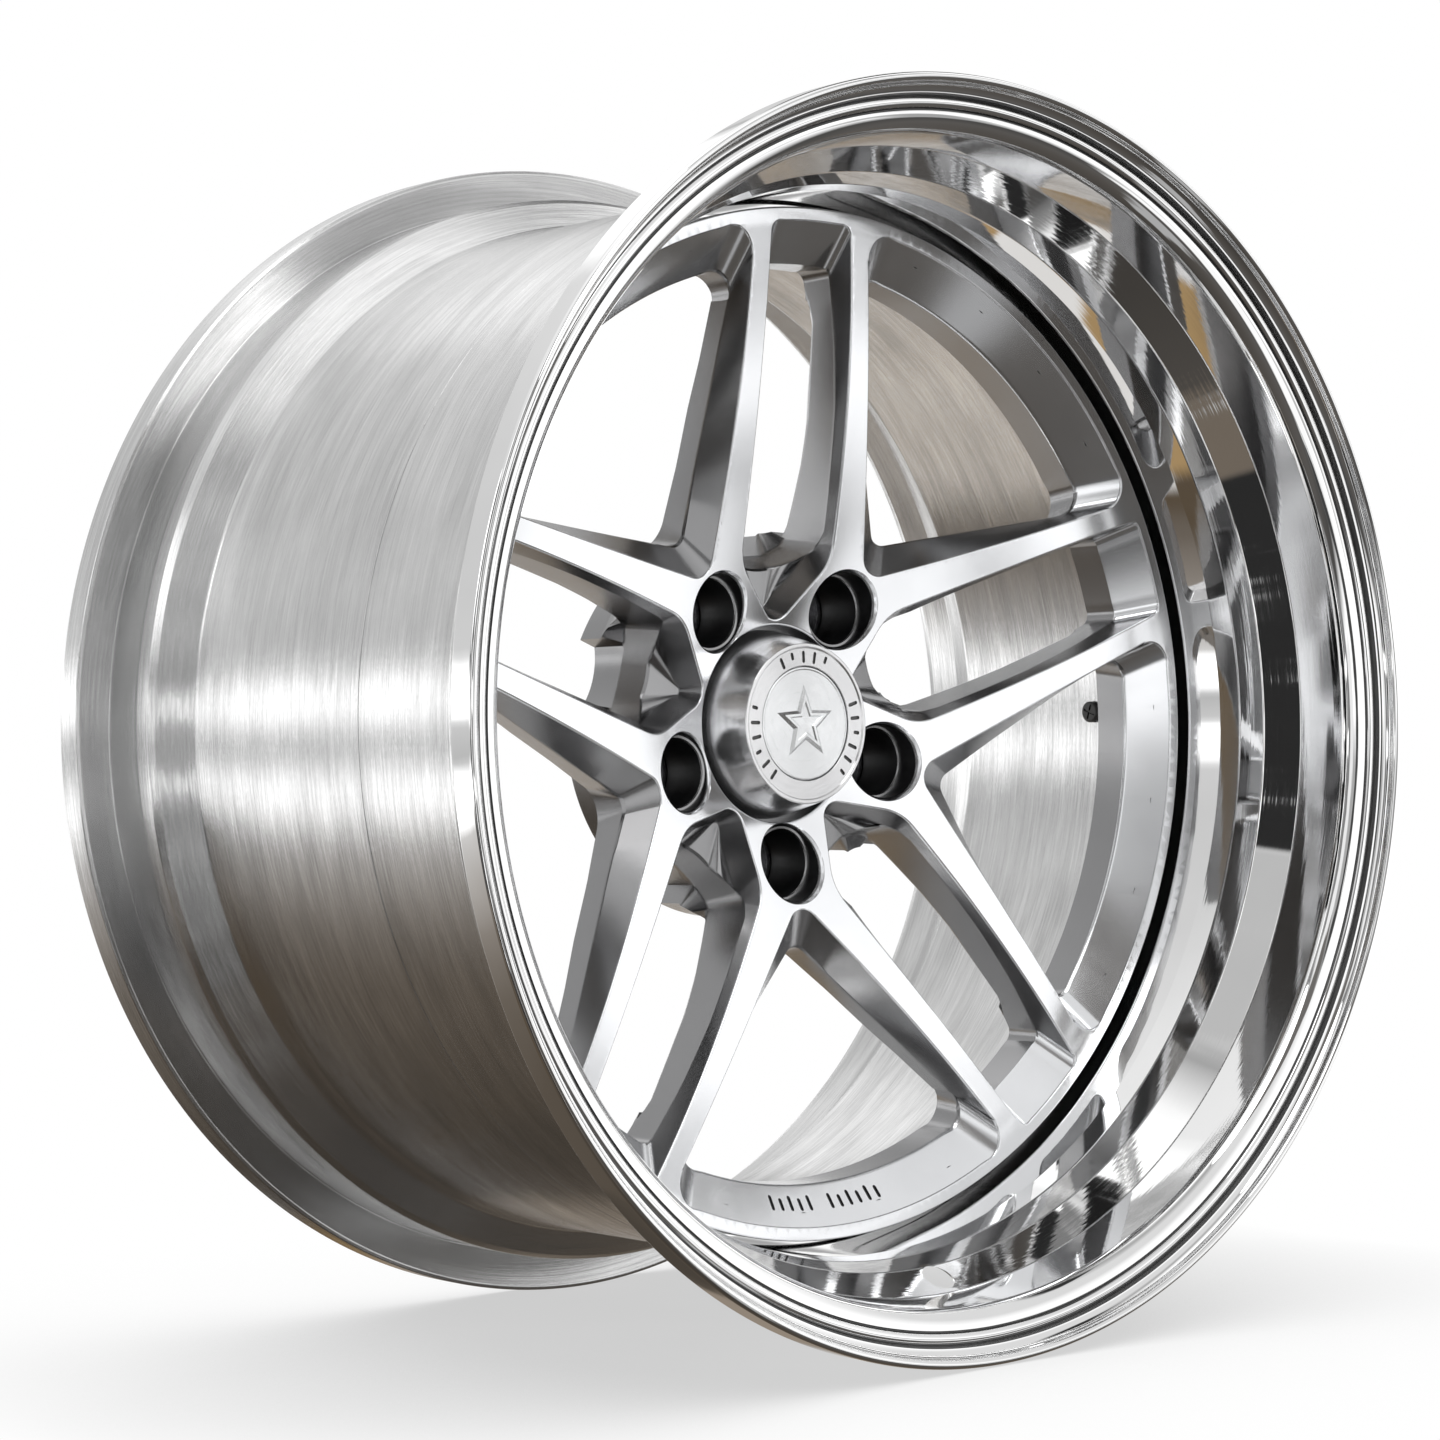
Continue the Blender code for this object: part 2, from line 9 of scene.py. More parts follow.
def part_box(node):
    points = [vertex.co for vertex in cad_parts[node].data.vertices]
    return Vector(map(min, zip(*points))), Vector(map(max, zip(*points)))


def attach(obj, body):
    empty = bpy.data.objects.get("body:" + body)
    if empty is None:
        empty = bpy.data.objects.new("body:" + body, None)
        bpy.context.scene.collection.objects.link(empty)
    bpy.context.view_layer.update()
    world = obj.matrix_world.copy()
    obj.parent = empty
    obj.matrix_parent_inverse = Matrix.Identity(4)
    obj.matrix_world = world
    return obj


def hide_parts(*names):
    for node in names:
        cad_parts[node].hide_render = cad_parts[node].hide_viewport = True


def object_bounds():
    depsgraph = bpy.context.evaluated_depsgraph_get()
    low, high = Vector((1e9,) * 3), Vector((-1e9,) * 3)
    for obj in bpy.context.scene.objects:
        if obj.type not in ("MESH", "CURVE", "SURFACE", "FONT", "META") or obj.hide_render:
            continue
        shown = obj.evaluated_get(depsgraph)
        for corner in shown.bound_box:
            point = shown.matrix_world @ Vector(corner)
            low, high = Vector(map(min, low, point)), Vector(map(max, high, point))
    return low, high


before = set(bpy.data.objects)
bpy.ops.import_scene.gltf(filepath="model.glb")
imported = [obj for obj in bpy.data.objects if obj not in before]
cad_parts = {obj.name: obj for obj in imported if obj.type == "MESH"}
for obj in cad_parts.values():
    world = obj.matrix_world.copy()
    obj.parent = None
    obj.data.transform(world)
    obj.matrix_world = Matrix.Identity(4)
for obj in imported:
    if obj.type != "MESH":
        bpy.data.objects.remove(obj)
CAD_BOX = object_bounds()

# ----- sizes taken from the frame
MM = 0.001
FRONT_Y = CAD_BOX[0].y
RIM_R = CAD_BOX[1].x / MM
RIM_WIDTH = (CAD_BOX[1].y - CAD_BOX[0].y) / MM


def node_depths(node):
    """Depths (mm behind the rim's front) of a CAD node's front and back."""
    low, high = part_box(node)
    return (low.y - FRONT_Y) / MM, (high.y - FRONT_Y) / MM


def node_radius(node):
    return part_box(node)[1].x / MM


RING_FRONT, PAD_BACK = node_depths("wheel_centre")
RING_R = node_radius("wheel_centre")
CAP_FRONT, CAP_TAIL = 108.0, node_depths("centre_cap")[1]
LIP_BACK = node_depths("outer_lip")[1]
BARREL_FRONT = node_depths("inner_barrel")[0]
HEAD_FRONT = BARREL_FRONT + 4.5
HEAD_BACK = node_depths("assembly_bolt_01")[1]
BOLT_TIP = node_depths("assembly_bolt_01")[0]
SEAT_FRONT, SEAT_BACK = node_depths("lug_seat_1")

SPOKE_PAIRS = 5
STEP_ANGLE = 360.0 / SPOKE_PAIRS
BAND_R = 202.0
SKIRT_OUT_R = 191.5
WINDOW_R = 186.1
SKIRT_BACK = 121.3
RING_BACK = 108.0
PAD_R = 80.0
BORE_R = 36.55
CAP_SEAT_R = 40.5
CAP_SEAT_D = 136.5
LUG_BORE_R = 15.2
LUG_MOUTH_R = 16.4
LUG_STEP_R = 13.9            # bore behind the first step of a lug hole
LUG_SEAT_D = SEAT_BACK + 0.3
STUD_R = 7.5
FLANGE_IN_R = 192.2
BARREL_R = 215.5
BARREL_BORE_R = 211.0
BOLT_R = 3.5
BOLT_HEAD_R = 6.4
BOLT_SIDES = 36
VALVE_ANGLE = -87.5
VALVE_HOLE_R = 5.75
RING_MARKS_AT = -98.5        # first index bar on the ring's slope
EDGE_R = 0.9                 # rounding of the machined edges of the spokes
TURNS = 360                  # facets round a large turned piece
SHARP_ANGLE = 28.0           # edges over this angle stay crisp
RIM_SHARP_ANGLE = 40.0       # the same on the rim halves, whose fillets are coarse


def centre_of(node):
    low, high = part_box(node)
    return (low + high) / 2


LUG_AT = centre_of("lug_seat_1")
LUG_CIRCLE_R = hypot(LUG_AT.x, LUG_AT.z) / MM
FIRST_LUG_ANGLE = atan2(LUG_AT.z, LUG_AT.x) * 180 / pi
PAIR_ANGLE = FIRST_LUG_ANGLE + STEP_ANGLE / 2
LUG_ANGLES = [FIRST_LUG_ANGLE + i * STEP_ANGLE for i in range(SPOKE_PAIRS)]
BOLT_NODES = sorted(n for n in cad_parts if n.startswith("assembly_bolt_"))
BOLT_ANGLES = [atan2(centre_of(n).z, centre_of(n).x) * 180 / pi for n in BOLT_NODES]
BOLT_CIRCLE_R = hypot(centre_of(BOLT_NODES[0]).x, centre_of(BOLT_NODES[0]).z) / MM
PLUG_AT = centre_of("barrel_plug")
PLUG_ANGLE = atan2(PLUG_AT.z, PLUG_AT.x) * 180 / pi
PLUG_D = (PLUG_AT.y - FRONT_Y) / MM


def y_of(depth):
    return FRONT_Y + depth * MM


def point(radius, angle, depth):
    a = radians(angle)
    return Vector((radius * cos(a) * MM, y_of(depth), radius * sin(a) * MM))


# ----- mesh helpers
def linked(name, data):
    obj = bpy.data.objects.new(name, data)
    bpy.context.scene.collection.objects.link(obj)
    return obj


def mesh_object(name, bm):
    """Object made of a bmesh, which is used up."""
    mesh = bpy.data.meshes.new(name)
    bm.to_mesh(mesh)
    bm.free()
    return linked(name, mesh)


def new_object(name, bm, mats, sharp=SHARP_ANGLE):
    """Named object from a closed bmesh, shaded smooth with crisp edges kept."""
    obj = tool(bm, name)
    for mat in mats:
        obj.data.materials.append(mat)
    smooth(obj, sharp)
    return obj


def smooth(obj, sharp):
    """Shade smooth, with edges over the given angle sharp and large faces kept flat."""
    obj.data.shade_smooth()
    obj.data.set_sharp_from_angle(angle=radians(sharp))
    mod = obj.modifiers.new("even shading", 'WEIGHTED_NORMAL')
    mod.mode = 'FACE_AREA'
    mod.weight = 80
    mod.keep_sharp = True


def loft(rings, cap_ends=False, closed=False):
    bm = bmesh.new()
    rows = [[bm.verts.new(p) for p in ring] for ring in rings]
    pairs = list(zip(rows, rows[1:]))
    if closed:
        pairs.append((rows[-1], rows[0]))
    for a, b in pairs:
        for i in range(len(a)):
            j = (i + 1) % len(a)
            bm.faces.new((a[i], a[j], b[j], b[i]))
    if cap_ends:
        bm.faces.new(rows[0])
        bm.faces.new(rows[-1])
    return bm


def rounded_path(corners, closed=True, step=12.0):
    """Profile points from (radius, depth, fillet) corners, each fillet drawn as an arc."""
    path = []
    count = len(corners)
    for i, (r, d, fillet) in enumerate(corners):
        here = Vector((r, d))
        if fillet <= 0 or (not closed and i in (0, count - 1)):
            path.append((r, d))
            continue
        back = Vector(corners[i - 1][:2]) - here
        on = Vector(corners[(i + 1) % count][:2]) - here
        half = back.angle(on) / 2
        reach = min(fillet / tan(half), 0.49 * back.length, 0.49 * on.length)
        radius = reach * tan(half)
        middle = here + (back.normalized() + on.normalized()).normalized() * radius / sin(half)
        start = here + back.normalized() * reach - middle
        turn = start.angle_signed(here + on.normalized() * reach - middle)
        steps = max(2, int(abs(turn) * 180 / pi / step + 0.5))
        path += [tuple(middle + Matrix.Rotation(-turn * k / steps, 2) @ start)
                 for k in range(steps + 1)]
    return path


def lathe(name, path, mats, turns=TURNS, on_axis=False, sharp=SHARP_ANGLE):
    """Turn a (radius, depth) path about the spin axis; on_axis closes both ends with a point."""
    angles = [360.0 * i / turns for i in range(turns)]
    if not on_axis:
        bm = loft([[point(r, a, d) for a in angles] for r, d in path], closed=True)
        return new_object(name, bm, mats, sharp)
    rings = [[point(r, a, d) for a in angles] for r, d in path[1:-1]]
    bm = loft(rings)
    bm.verts.ensure_lookup_table()
    ends = []
    for (r, d), start in ((path[0], 0), (path[-1], (len(rings) - 1) * turns)):
        ends.append((bm.verts.new(point(0, 0, d)), start))
    bm.verts.ensure_lookup_table()
    for tip, start in ends:
        for i in range(turns):
            bm.faces.new((tip, bm.verts[start + i], bm.verts[start + (i + 1) % turns]))
    return new_object(name, bm, mats, sharp)


def tool(bm, name="tool"):
    """Object of a closed bmesh with its faces turned outwards."""
    bmesh.ops.recalc_face_normals(bm, faces=bm.faces)
    return mesh_object(name, bm)


def spin_rings(start, end, radii, sides):
    """Circles about the line between two points; radii are (share of the way, mm)."""
    axis = (end - start).normalized()
    across = Vector((1, 0, 0)) if abs(axis.y) > 0.99 else axis.orthogonal().normalized()
    rings = []
    for share, radius in radii:
        at = start.lerp(end, share)
        rings.append([at + Matrix.Rotation(2 * pi * i / sides, 3, axis) @ across * radius * MM
                      for i in range(sides)])
    return rings


def spin_tool(start, end, radii, sides=32):
    return tool(loft(spin_rings(start, end, radii, sides), cap_ends=True))


def merged(tools):
    """Several cutters that don't touch, as one object."""
    bm = bmesh.new()
    for obj in tools:
        bm.from_mesh(obj.data)
    for obj in tools:
        bpy.data.objects.remove(obj)
    return tool(bm)


def boolean(obj, other, operation='DIFFERENCE', sharp=SHARP_ANGLE):
    """Apply one boolean at once and drop the other object."""
    for mod in list(obj.modifiers):
        obj.modifiers.remove(mod)
    mod = obj.modifiers.new("cut", 'BOOLEAN')
    mod.operation = operation
    mod.solver = 'MANIFOLD'
    mod.object = other
    depsgraph = bpy.context.evaluated_depsgraph_get()
    mesh = bpy.data.meshes.new_from_object(obj.evaluated_get(depsgraph))
    obj.modifiers.clear()
    obj.data = mesh
    bpy.data.objects.remove(other)
    smooth(obj, sharp)


def top_up(obj, mats):
    """Give an object the materials that it lost in a boolean because no face used them."""
    for mat in mats[len(obj.data.materials):]:
        obj.data.materials.append(mat)


# ----- shader helpers
class Nodes:
    """Short-hand for building a node tree."""

    def __init__(self, tree):
        self.tree = tree
        self.links = tree.links

    def add(self, kind, **inputs):
        node = self.tree.nodes.new(kind)
        for key, value in inputs.items():
            socket = node.inputs[int(key[1:])] if key[0] == "i" and key[1:].isdigit() \
                else node.inputs[key.replace("_", " ")]
            self.put(socket, value)
        return node

    def put(self, socket, value):
        if isinstance(value, bpy.types.NodeSocket):
            self.links.new(value, socket)
        else:
            socket.default_value = value

    def math(self, operation, a, b=0.0, c=0.0):
        node = self.add("ShaderNodeMath", i0=a, i1=b, i2=c)
        node.operation = operation
        return node.outputs[0]

    def vector(self, operation, a, b=None, scale=None):
        """Vector maths; the result is a vector, but a number for LENGTH."""
        node = self.tree.nodes.new("ShaderNodeVectorMath")
        node.operation = operation
        self.put(node.inputs[0], a)
        if b is not None:
            self.put(node.inputs[1], b)
        if scale is not None:
            self.put(node.inputs["Scale"], scale)
        return node.outputs["Value" if operation == 'LENGTH' else "Vector"]

    def noise(self, vector, scale, detail=3.0, rough=0.5, distortion=0.0):
        node = self.add("ShaderNodeTexNoise", Vector=vector, Scale=scale, Detail=detail,
                        Roughness=rough, Distortion=distortion)
        return node.outputs["Fac"]

    def spread(self, value, low, high, start=0.3, end=0.7):
        """Map a noise value in start..end to low..high."""
        node = self.add("ShaderNodeMapRange", i0=value, i1=start, i2=end, i3=low, i4=high)
        return node.outputs[0]

    def mix(self, factor, a, b, blend='MIX'):
        node = self.tree.nodes.new("ShaderNodeMix")
        node.data_type = 'RGBA'
        node.blend_type = blend
        self.put(node.inputs[0], factor)
        self.put(node.inputs[6], a)
        self.put(node.inputs[7], b)
        return node.outputs[2]

    def bump(self, height, strength, distance, normal=None):
        node = self.add("ShaderNodeBump", Strength=strength, Distance=distance, Height=height)
        if normal is not None:
            self.links.new(normal, node.inputs["Normal"])
        return node.outputs["Normal"]


def new_material(name):
    """Material with an empty tree but for a Principled shader; returns it with its helpers."""
    mat = bpy.data.materials.new(name)
    mat.use_nodes = True
    nodes = Nodes(mat.node_tree)
    bsdf = mat.node_tree.nodes["Principled BSDF"]
    return mat, nodes, bsdf


def finish(nodes, bsdf, colour, rough, normal, metallic=1.0):
    nodes.put(bsdf.inputs["Base Color"], colour)
    nodes.put(bsdf.inputs["Roughness"], rough)
    nodes.put(bsdf.inputs["Normal"], normal)
    nodes.put(bsdf.inputs["Metallic"], metallic)


def place_of(nodes):
    return nodes.add("ShaderNodeTexCoord").outputs["Object"]


def round_streaks(nodes, around, across):
    """Coordinates that change slowly round the spin axis and quickly across it.

    around is in cells per turn-radius, across in cells per metre of radius and of depth.
    """
    x, y, z = nodes.add("ShaderNodeSeparateXYZ", Vector=place_of(nodes)).outputs
    flat = nodes.add("ShaderNodeCombineXYZ", X=x, Z=z).outputs[0]
    turn = nodes.add("ShaderNodeSeparateXYZ", Vector=nodes.vector('NORMALIZE', flat))
    across_r = nodes.math('MULTIPLY', nodes.vector('LENGTH', flat), across)
    px = nodes.math('MULTIPLY_ADD', turn.outputs[0], around, across_r)
    py = nodes.math('MULTIPLY', y, across)
    pz = nodes.math('MULTIPLY', turn.outputs[2], around)
    return nodes.add("ShaderNodeCombineXYZ", X=px, Y=py, Z=pz).outputs[0]


def radial_tangent(nodes):
    node = nodes.tree.nodes.new("ShaderNodeTangent")
    node.direction_type = 'RADIAL'
    node.axis = 'Y'
    return node.outputs[0]


def polished_material():
    """Mirror-polished aluminium: clear reflections, faint buffing haze and a slow ripple."""
    mat, nodes, bsdf = new_material("polished_aluminium")
    place = place_of(nodes)
    haze = nodes.noise(place, 9.0, 4.0, 0.6)
    lines = nodes.noise(round_streaks(nodes, 5.0, 900.0), 1.0, 2.0)
    colour = nodes.mix(nodes.spread(haze, 0.0, 1.0), (0.84, 0.84, 0.84, 1), (0.92, 0.92, 0.92, 1))
    rough = nodes.math('ADD', nodes.spread(haze, 0.01, 0.03), nodes.spread(lines, 0.0, 0.02))
    ripple = nodes.noise(place, 7.0, 1.0, 0.4, 0.3)
    normal = nodes.bump(lines, 0.02, 0.0003, nodes.bump(ripple, 0.30, 0.004))
    finish(nodes, bsdf, colour, rough, normal)
    return mat


def tilted_normal(nodes, tangent, amount):
    """Surface normal leaning along the brushing by a different amount in every scratch."""
    lean = nodes.vector('SCALE', tangent, scale=amount)
    normal = nodes.add("ShaderNodeNewGeometry").outputs["Normal"]
    return nodes.vector('NORMALIZE', nodes.vector('ADD', normal, lean))


def brushed_material(name, dark, light, rough, around=6.0, across=1400.0, depth=0.25, lean=0.0,
                     stretch=0.8):
    """Aluminium brushed round the spin axis, with long fine scratches and soft blotches."""
    mat, nodes, bsdf = new_material(name)
    fine = nodes.noise(round_streaks(nodes, around, across), 1.0, 4.0, 0.65)
    broad = nodes.noise(round_streaks(nodes, around * 0.6, across * 0.06), 1.0, 3.0, 0.6)
    blotch = nodes.noise(place_of(nodes), 16.0, 4.0, 0.6)
    tone = nodes.math('MULTIPLY_ADD', fine, 0.55, nodes.math('MULTIPLY', broad, 0.45))
    colour = nodes.mix(nodes.spread(tone, 0.0, 1.0, 0.35, 0.65), (*dark, 1), (*light, 1))
    shade = nodes.spread(blotch, 0.92, 1.04)
    colour = nodes.mix(1.0, colour, nodes.add("ShaderNodeCombineXYZ", X=shade, Y=shade,
                                              Z=shade).outputs[0], 'MULTIPLY')
    bsdf.inputs["Anisotropic"].default_value = stretch
    bsdf.inputs["Anisotropic Rotation"].default_value = 0.25
    tangent = radial_tangent(nodes)
    nodes.put(bsdf.inputs["Tangent"], tangent)
    streak = nodes.noise(round_streaks(nodes, around * 1.6, across * 0.35), 1.0, 2.0, 0.6)
    normal = tilted_normal(nodes, tangent, nodes.spread(streak, -lean, lean))
    finish(nodes, bsdf, colour, nodes.spread(tone, rough + 0.07, rough - 0.06),
           nodes.bump(fine, depth, 0.0003, normal))
    return mat


def satin_material(name, dark, light, rough, grain=0.12):
    """Blasted or tumbled aluminium: fine even grain with slow blotches."""
    mat, nodes, bsdf = new_material(name)
    place = place_of(nodes)
    blotch = nodes.noise(place, 22.0, 5.0, 0.6)
    grit = nodes.noise(place, 2600.0, 2.0, 0.5)
    colour = nodes.mix(nodes.spread(blotch, 0.0, 1.0), (*dark, 1), (*light, 1))
    rough = nodes.math('ADD', nodes.spread(blotch, rough - 0.015, rough + 0.015),
                       nodes.spread(grit, 0.0, 0.03))
    finish(nodes, bsdf, colour, rough, nodes.bump(grit, grain, 0.0002))
    return mat


def dark_material(name, colour, rough, metallic=0.0):
    """Black surface with a fine uneven grain: rubber or plastic, and the painted shade deep in the
    lug bores.
    """
    mat, nodes, bsdf = new_material(name)
    place = place_of(nodes)
    grit = nodes.noise(place, 1500.0, 3.0, 0.6)
    wear = nodes.noise(place, 60.0, 3.0, 0.6)
    lighter = tuple(min(1.0, c * 1.8 + 0.01) for c in colour)
    colour = nodes.mix(nodes.spread(wear, 0.0, 1.0), (*colour, 1), (*lighter, 1))
    finish(nodes, bsdf, colour, nodes.spread(wear, rough - 0.08, rough + 0.08),
           nodes.bump(grit, 0.1, 0.0002), metallic)
    return mat


# ----- wheel centre
def face_depth(radius):
    """The spoke faces sweep back from the ring to the hub in a shallow parabola."""
    inward = BAND_R - radius
    return RING_FRONT + 0.0747 * inward + 0.000776 * inward * inward


def hub_depth(radius):
    return float(np.interp(radius, [47, 65, 74, 80, 107, 130, 157, 186],
                           [133.5, 134.5, 123, 117, 111.5, 107.5, 105.2, 105.0]))


def pair_back_depth(radius):
    return float(np.interp(radius, [68, 78, 92, 109, 127, 166, 186],
                           [148.5, 142, 135.7, 128.5, 123, 117, 121.3]))


def spoke_back_depth(radius):
    return float(np.interp(radius, [84, 94, 115, 135, 153, 176, 186],
                           [140, 135.5, 130.3, 127.3, 123.4, 120, 121.3]))


def open_edge_depth(radius):
    return float(np.interp(radius, [92, 114, 135, 172, 186], [120.3, 117.3, 113.5, 107.7, 105]))


def pair_face_half(u):
    return 24.3 - 3.3 * max(0.0, (u - 74) / 127) ** 2.2


def pair_edge_half(u):
    s = (u - 74) / 112
    return 21.3 + 4.6 * s - 7.1 * s * s


def pair_back_half(u):
    return 20.6 - 1.6 * max(0.0, (u - 90) / 96) ** 1.5


def outer_face_side(u):
    s = (u - 74) / 127
    return 40.6 - 13.5 * s + 3.5 * s * s


def outer_edge_side(u):
    return 51.5 - 17.0 * (u - 77) / 91


def outer_back_side(u):
    return 50.1 - 18.6 * (u - 80) / 93


def fillet(before, corner, after, radius, steps):
    """Points of the arc that rounds one corner of an outline."""
    c = Vector(corner)
    a = (Vector(before) - c).normalized()
    b = (Vector(after) - c).normalized()
    half = a.angle(b) / 2
    middle = c + (a + b).normalized() * radius / sin(half)
    start = c + a * radius / tan(half) - middle
    turn = start.angle_signed(c + b * radius / tan(half) - middle)
    return [tuple(middle + Matrix.Rotation(-turn * i / steps, 2) @ start)
            for i in range(steps + 1)]


NOSE, SHOULDER, CORNER, SIDE = 9, 8, 9, 20


def v_nose(apex_u, apex_r, shoulder, shoulder_r):
    """Inner end of a pair window as a V with a round point, up to the shoulder's fillet."""
    slope = atan2(shoulder[1], shoulder[0] - apex_u)
    centre = apex_u + apex_r / sin(slope)
    nose = [(centre - apex_r * cos(t), apex_r * sin(t))
            for t in np.linspace(0, pi / 2 - slope, NOSE)]
    cut = shoulder_r * tan(slope / 2)
    end = np.array((shoulder[0] - cut * cos(slope), shoulder[1] - cut * sin(slope)))
    start = np.array(nose[-1])
    return nose + [tuple(start + (end - start) * s) for s in np.linspace(0, 1, NOSE + 1)[1:-1]]


def arc_nose(apex_u, shoulder):
    """Inner end of a pair window as one wide arc across the axis."""
    rise = shoulder[0] - apex_u
    radius = (rise * rise + shoulder[1] ** 2) / (2 * rise)
    sweep = atan2(shoulder[1], radius - rise)
    turns = np.linspace(0, sweep * 0.96, 2 * NOSE - 1)
    return [(apex_u + radius * (1 - cos(t)), radius * sin(t)) for t in turns]


def pair_half(apex, shoulder, side_of, outer_r, straight_end=False):
    """Half outline (u, v) of the window between a pair's spokes, apex to ring."""
    at = (shoulder[0], side_of(shoulder[0]))
    half = arc_nose(apex[0], at) if straight_end else v_nose(*apex, at, shoulder[1])
    ahead = (at[0] + 30, side_of(at[0] + 30))
    half = half + fillet(half[-1], at, ahead, shoulder[1], SHOULDER)
    corner_u = sqrt(outer_r ** 2 - side_of(outer_r) ** 2)
    corner = (corner_u, side_of(corner_u))
    start = half[-1][0]
    stations = np.linspace(start, corner_u - 6, SIDE + 2)[1:-1]
    half += [(u, side_of(u)) for u in stations]
    half += fillet(half[-1], corner, (corner_u + 3, 0), 5.0, CORNER)
    turn = atan2(half[-1][1], half[-1][0])
    half += [(outer_r * cos(turn * s), outer_r * sin(turn * s)) for s in np.linspace(1, 0, 8)[1:]]
    return half


def open_half(apex_u, side_of, u_range, outer_r):
    """Half outline of the wide window between two pairs, in its own (lug) axis frame."""
    turn = radians(STEP_ANGLE / 2)
    line = []
    for u in np.linspace(*u_range, SIDE):
        v = side_of(u)
        line.append((u * cos(turn) + v * sin(turn), u * sin(turn) - v * cos(turn)))
    first = Vector(line[0])
    slope = atan2(line[1][1] - line[0][1], line[1][0] - line[0][0])
    tip_u = first.x - first.y / tan(slope)
    nose_r = (apex_u - tip_u) / (1 / sin(slope) - 1)
    centre = apex_u + nose_r
    nose = [(centre - nose_r * cos(t), nose_r * sin(t))
            for t in np.linspace(0, pi / 2 - slope, NOSE)]
    before, corner = line[-2], line[-1]
    reach = hypot(*corner)
    corner = (corner[0] * outer_r / reach, corner[1] * outer_r / reach)
    tangent = (corner[0] + corner[1], corner[1] - corner[0])
    side = []
    begin = Vector(nose[-1])
    kept = [Vector(p) for p in line[:-1] if p[0] > begin.x + 1]
    for s in np.linspace(0, 1, SIDE + 1)[1:-1]:
        at = s * (len(kept) - 1)
        i = min(int(at), len(kept) - 2)
        side.append(tuple(kept[i].lerp(kept[i + 1], at - i)))
    half = nose + side + fillet(before, corner, tangent, 10.0, CORNER)
    last = half[-1]
    start = atan2(last[1], last[0])
    half += [(outer_r * cos(start * s), outer_r * sin(start * s))
             for s in np.linspace(1, 0, 16)[1:]]
    return half


def mirrored(half):
    return half + [(p[0], -p[1], *p[2:]) for p in half[-2:0:-1]]


def grown(outline, by):
    """Closed outline moved outwards along its own normals."""
    pts = np.array([p[:2] for p in outline])
    along = np.roll(pts, -1, 0) - np.roll(pts, 1, 0)
    normal = np.stack([along[:, 1], -along[:, 0]], 1)
    normal /= np.linalg.norm(normal, axis=1)[:, None]
    area = np.sum(pts[:, 0] * np.roll(pts[:, 1], -1) - np.roll(pts[:, 0], -1) * pts[:, 1])
    return [tuple(p) for p in pts + normal * by * (1 if area > 0 else -1)]


def place(ring, axis_angle):
    a = radians(axis_angle)
    return [Vector(((u * cos(a) - v * sin(a)) * MM, y_of(d), (u * sin(a) + v * cos(a)) * MM))
            for u, v, d in ring]


def rounded_mouth(outline):
    """Rings that open a cutter's mouth in a round edge where it meets the spoke faces."""
    first = radians(12)
    flare = 0.7 / tan(first)
    top = grown(outline, EDGE_R * (1 - sin(first)) + flare)
    rings = [[(u, v, 80.0) for u, v in top],
             [(u, v, face_depth(hypot(u, v)) + EDGE_R * (1 - cos(first)) - 0.7) for u, v in top]]
    for turn in np.radians([12, 30, 48, 66, 84]):
        ring = grown(outline, EDGE_R * (1 - sin(turn)))
        rings.append([(u, v, face_depth(hypot(u, v)) + EDGE_R * (1 - cos(turn)))
                      for u, v in ring])
    return rings


def between(ring_a, ring_b, share):
    return [tuple(a * (1 - share) + b * share for a, b in zip(p, q))
            for p, q in zip(ring_a, ring_b)]


def crisp(rings):
    """Add a support ring close to each side of the inner rings, so that creases stay narrow."""
    margin = 0.06
    out = [rings[0]]
    for before, here, after in zip(rings, rings[1:], rings[2:]):
        out += [between(before, here, 1 - margin), between(here, after, margin)]
    out.append(rings[-1])
    return out


def pair_window(axis_angle):
    """Cutter between a pair's spokes, with the pocket between two lug bosses."""
    face = mirrored(pair_half((39.5, 7.5), (66.3, 20.0), pair_face_half, BAND_R))
    edge = mirrored(pair_half((47.0, 2.5), (71.0, 8.0), pair_edge_half, WINDOW_R))
    sill = mirrored(pair_half((64.0, 0), (71.2, 8.0), pair_edge_half, WINDOW_R, True))
    back = mirrored(pair_half((68.0, 0), (75.0, 5.0), pair_back_half, WINDOW_R, True))
    edge_ring = [(u, v, hub_depth(hypot(u, v))) for u, v in edge]
    sill_ring = [(u, v, hub_depth(hypot(u, v)) + 0.6) for u, v in sill]
    back_ring = [(u, v, pair_back_depth(hypot(u, v))) for u, v in back]
    notch = []
    hub_end = 2 * NOSE + SHOULDER
    for i, (u, v) in enumerate(back):
        along = min(i, len(back) - i)
        side = 1 if v >= 0 else -1
        if along < hub_end:
            slant = 14.0 + 0.04 * along
            notch.append((u if abs(v) < 14 else 82.0 + 0.04 * along,
                          side * min(abs(v), slant), 150.6))
        else:
            widen = 9.0 if u < 170 else 0.0
            notch.append((u, v + side * widen, spoke_back_depth(hypot(u, v)) + 6))
    walls = crisp([rounded_mouth(face)[-1], edge_ring, sill_ring, back_ring, notch])
    rings = rounded_mouth(face) + walls[1:]
    rings.append([(u, v, 180.0) for u, v, _ in notch])
    return tool(loft([place(ring, axis_angle) for ring in rings], cap_ends=True))


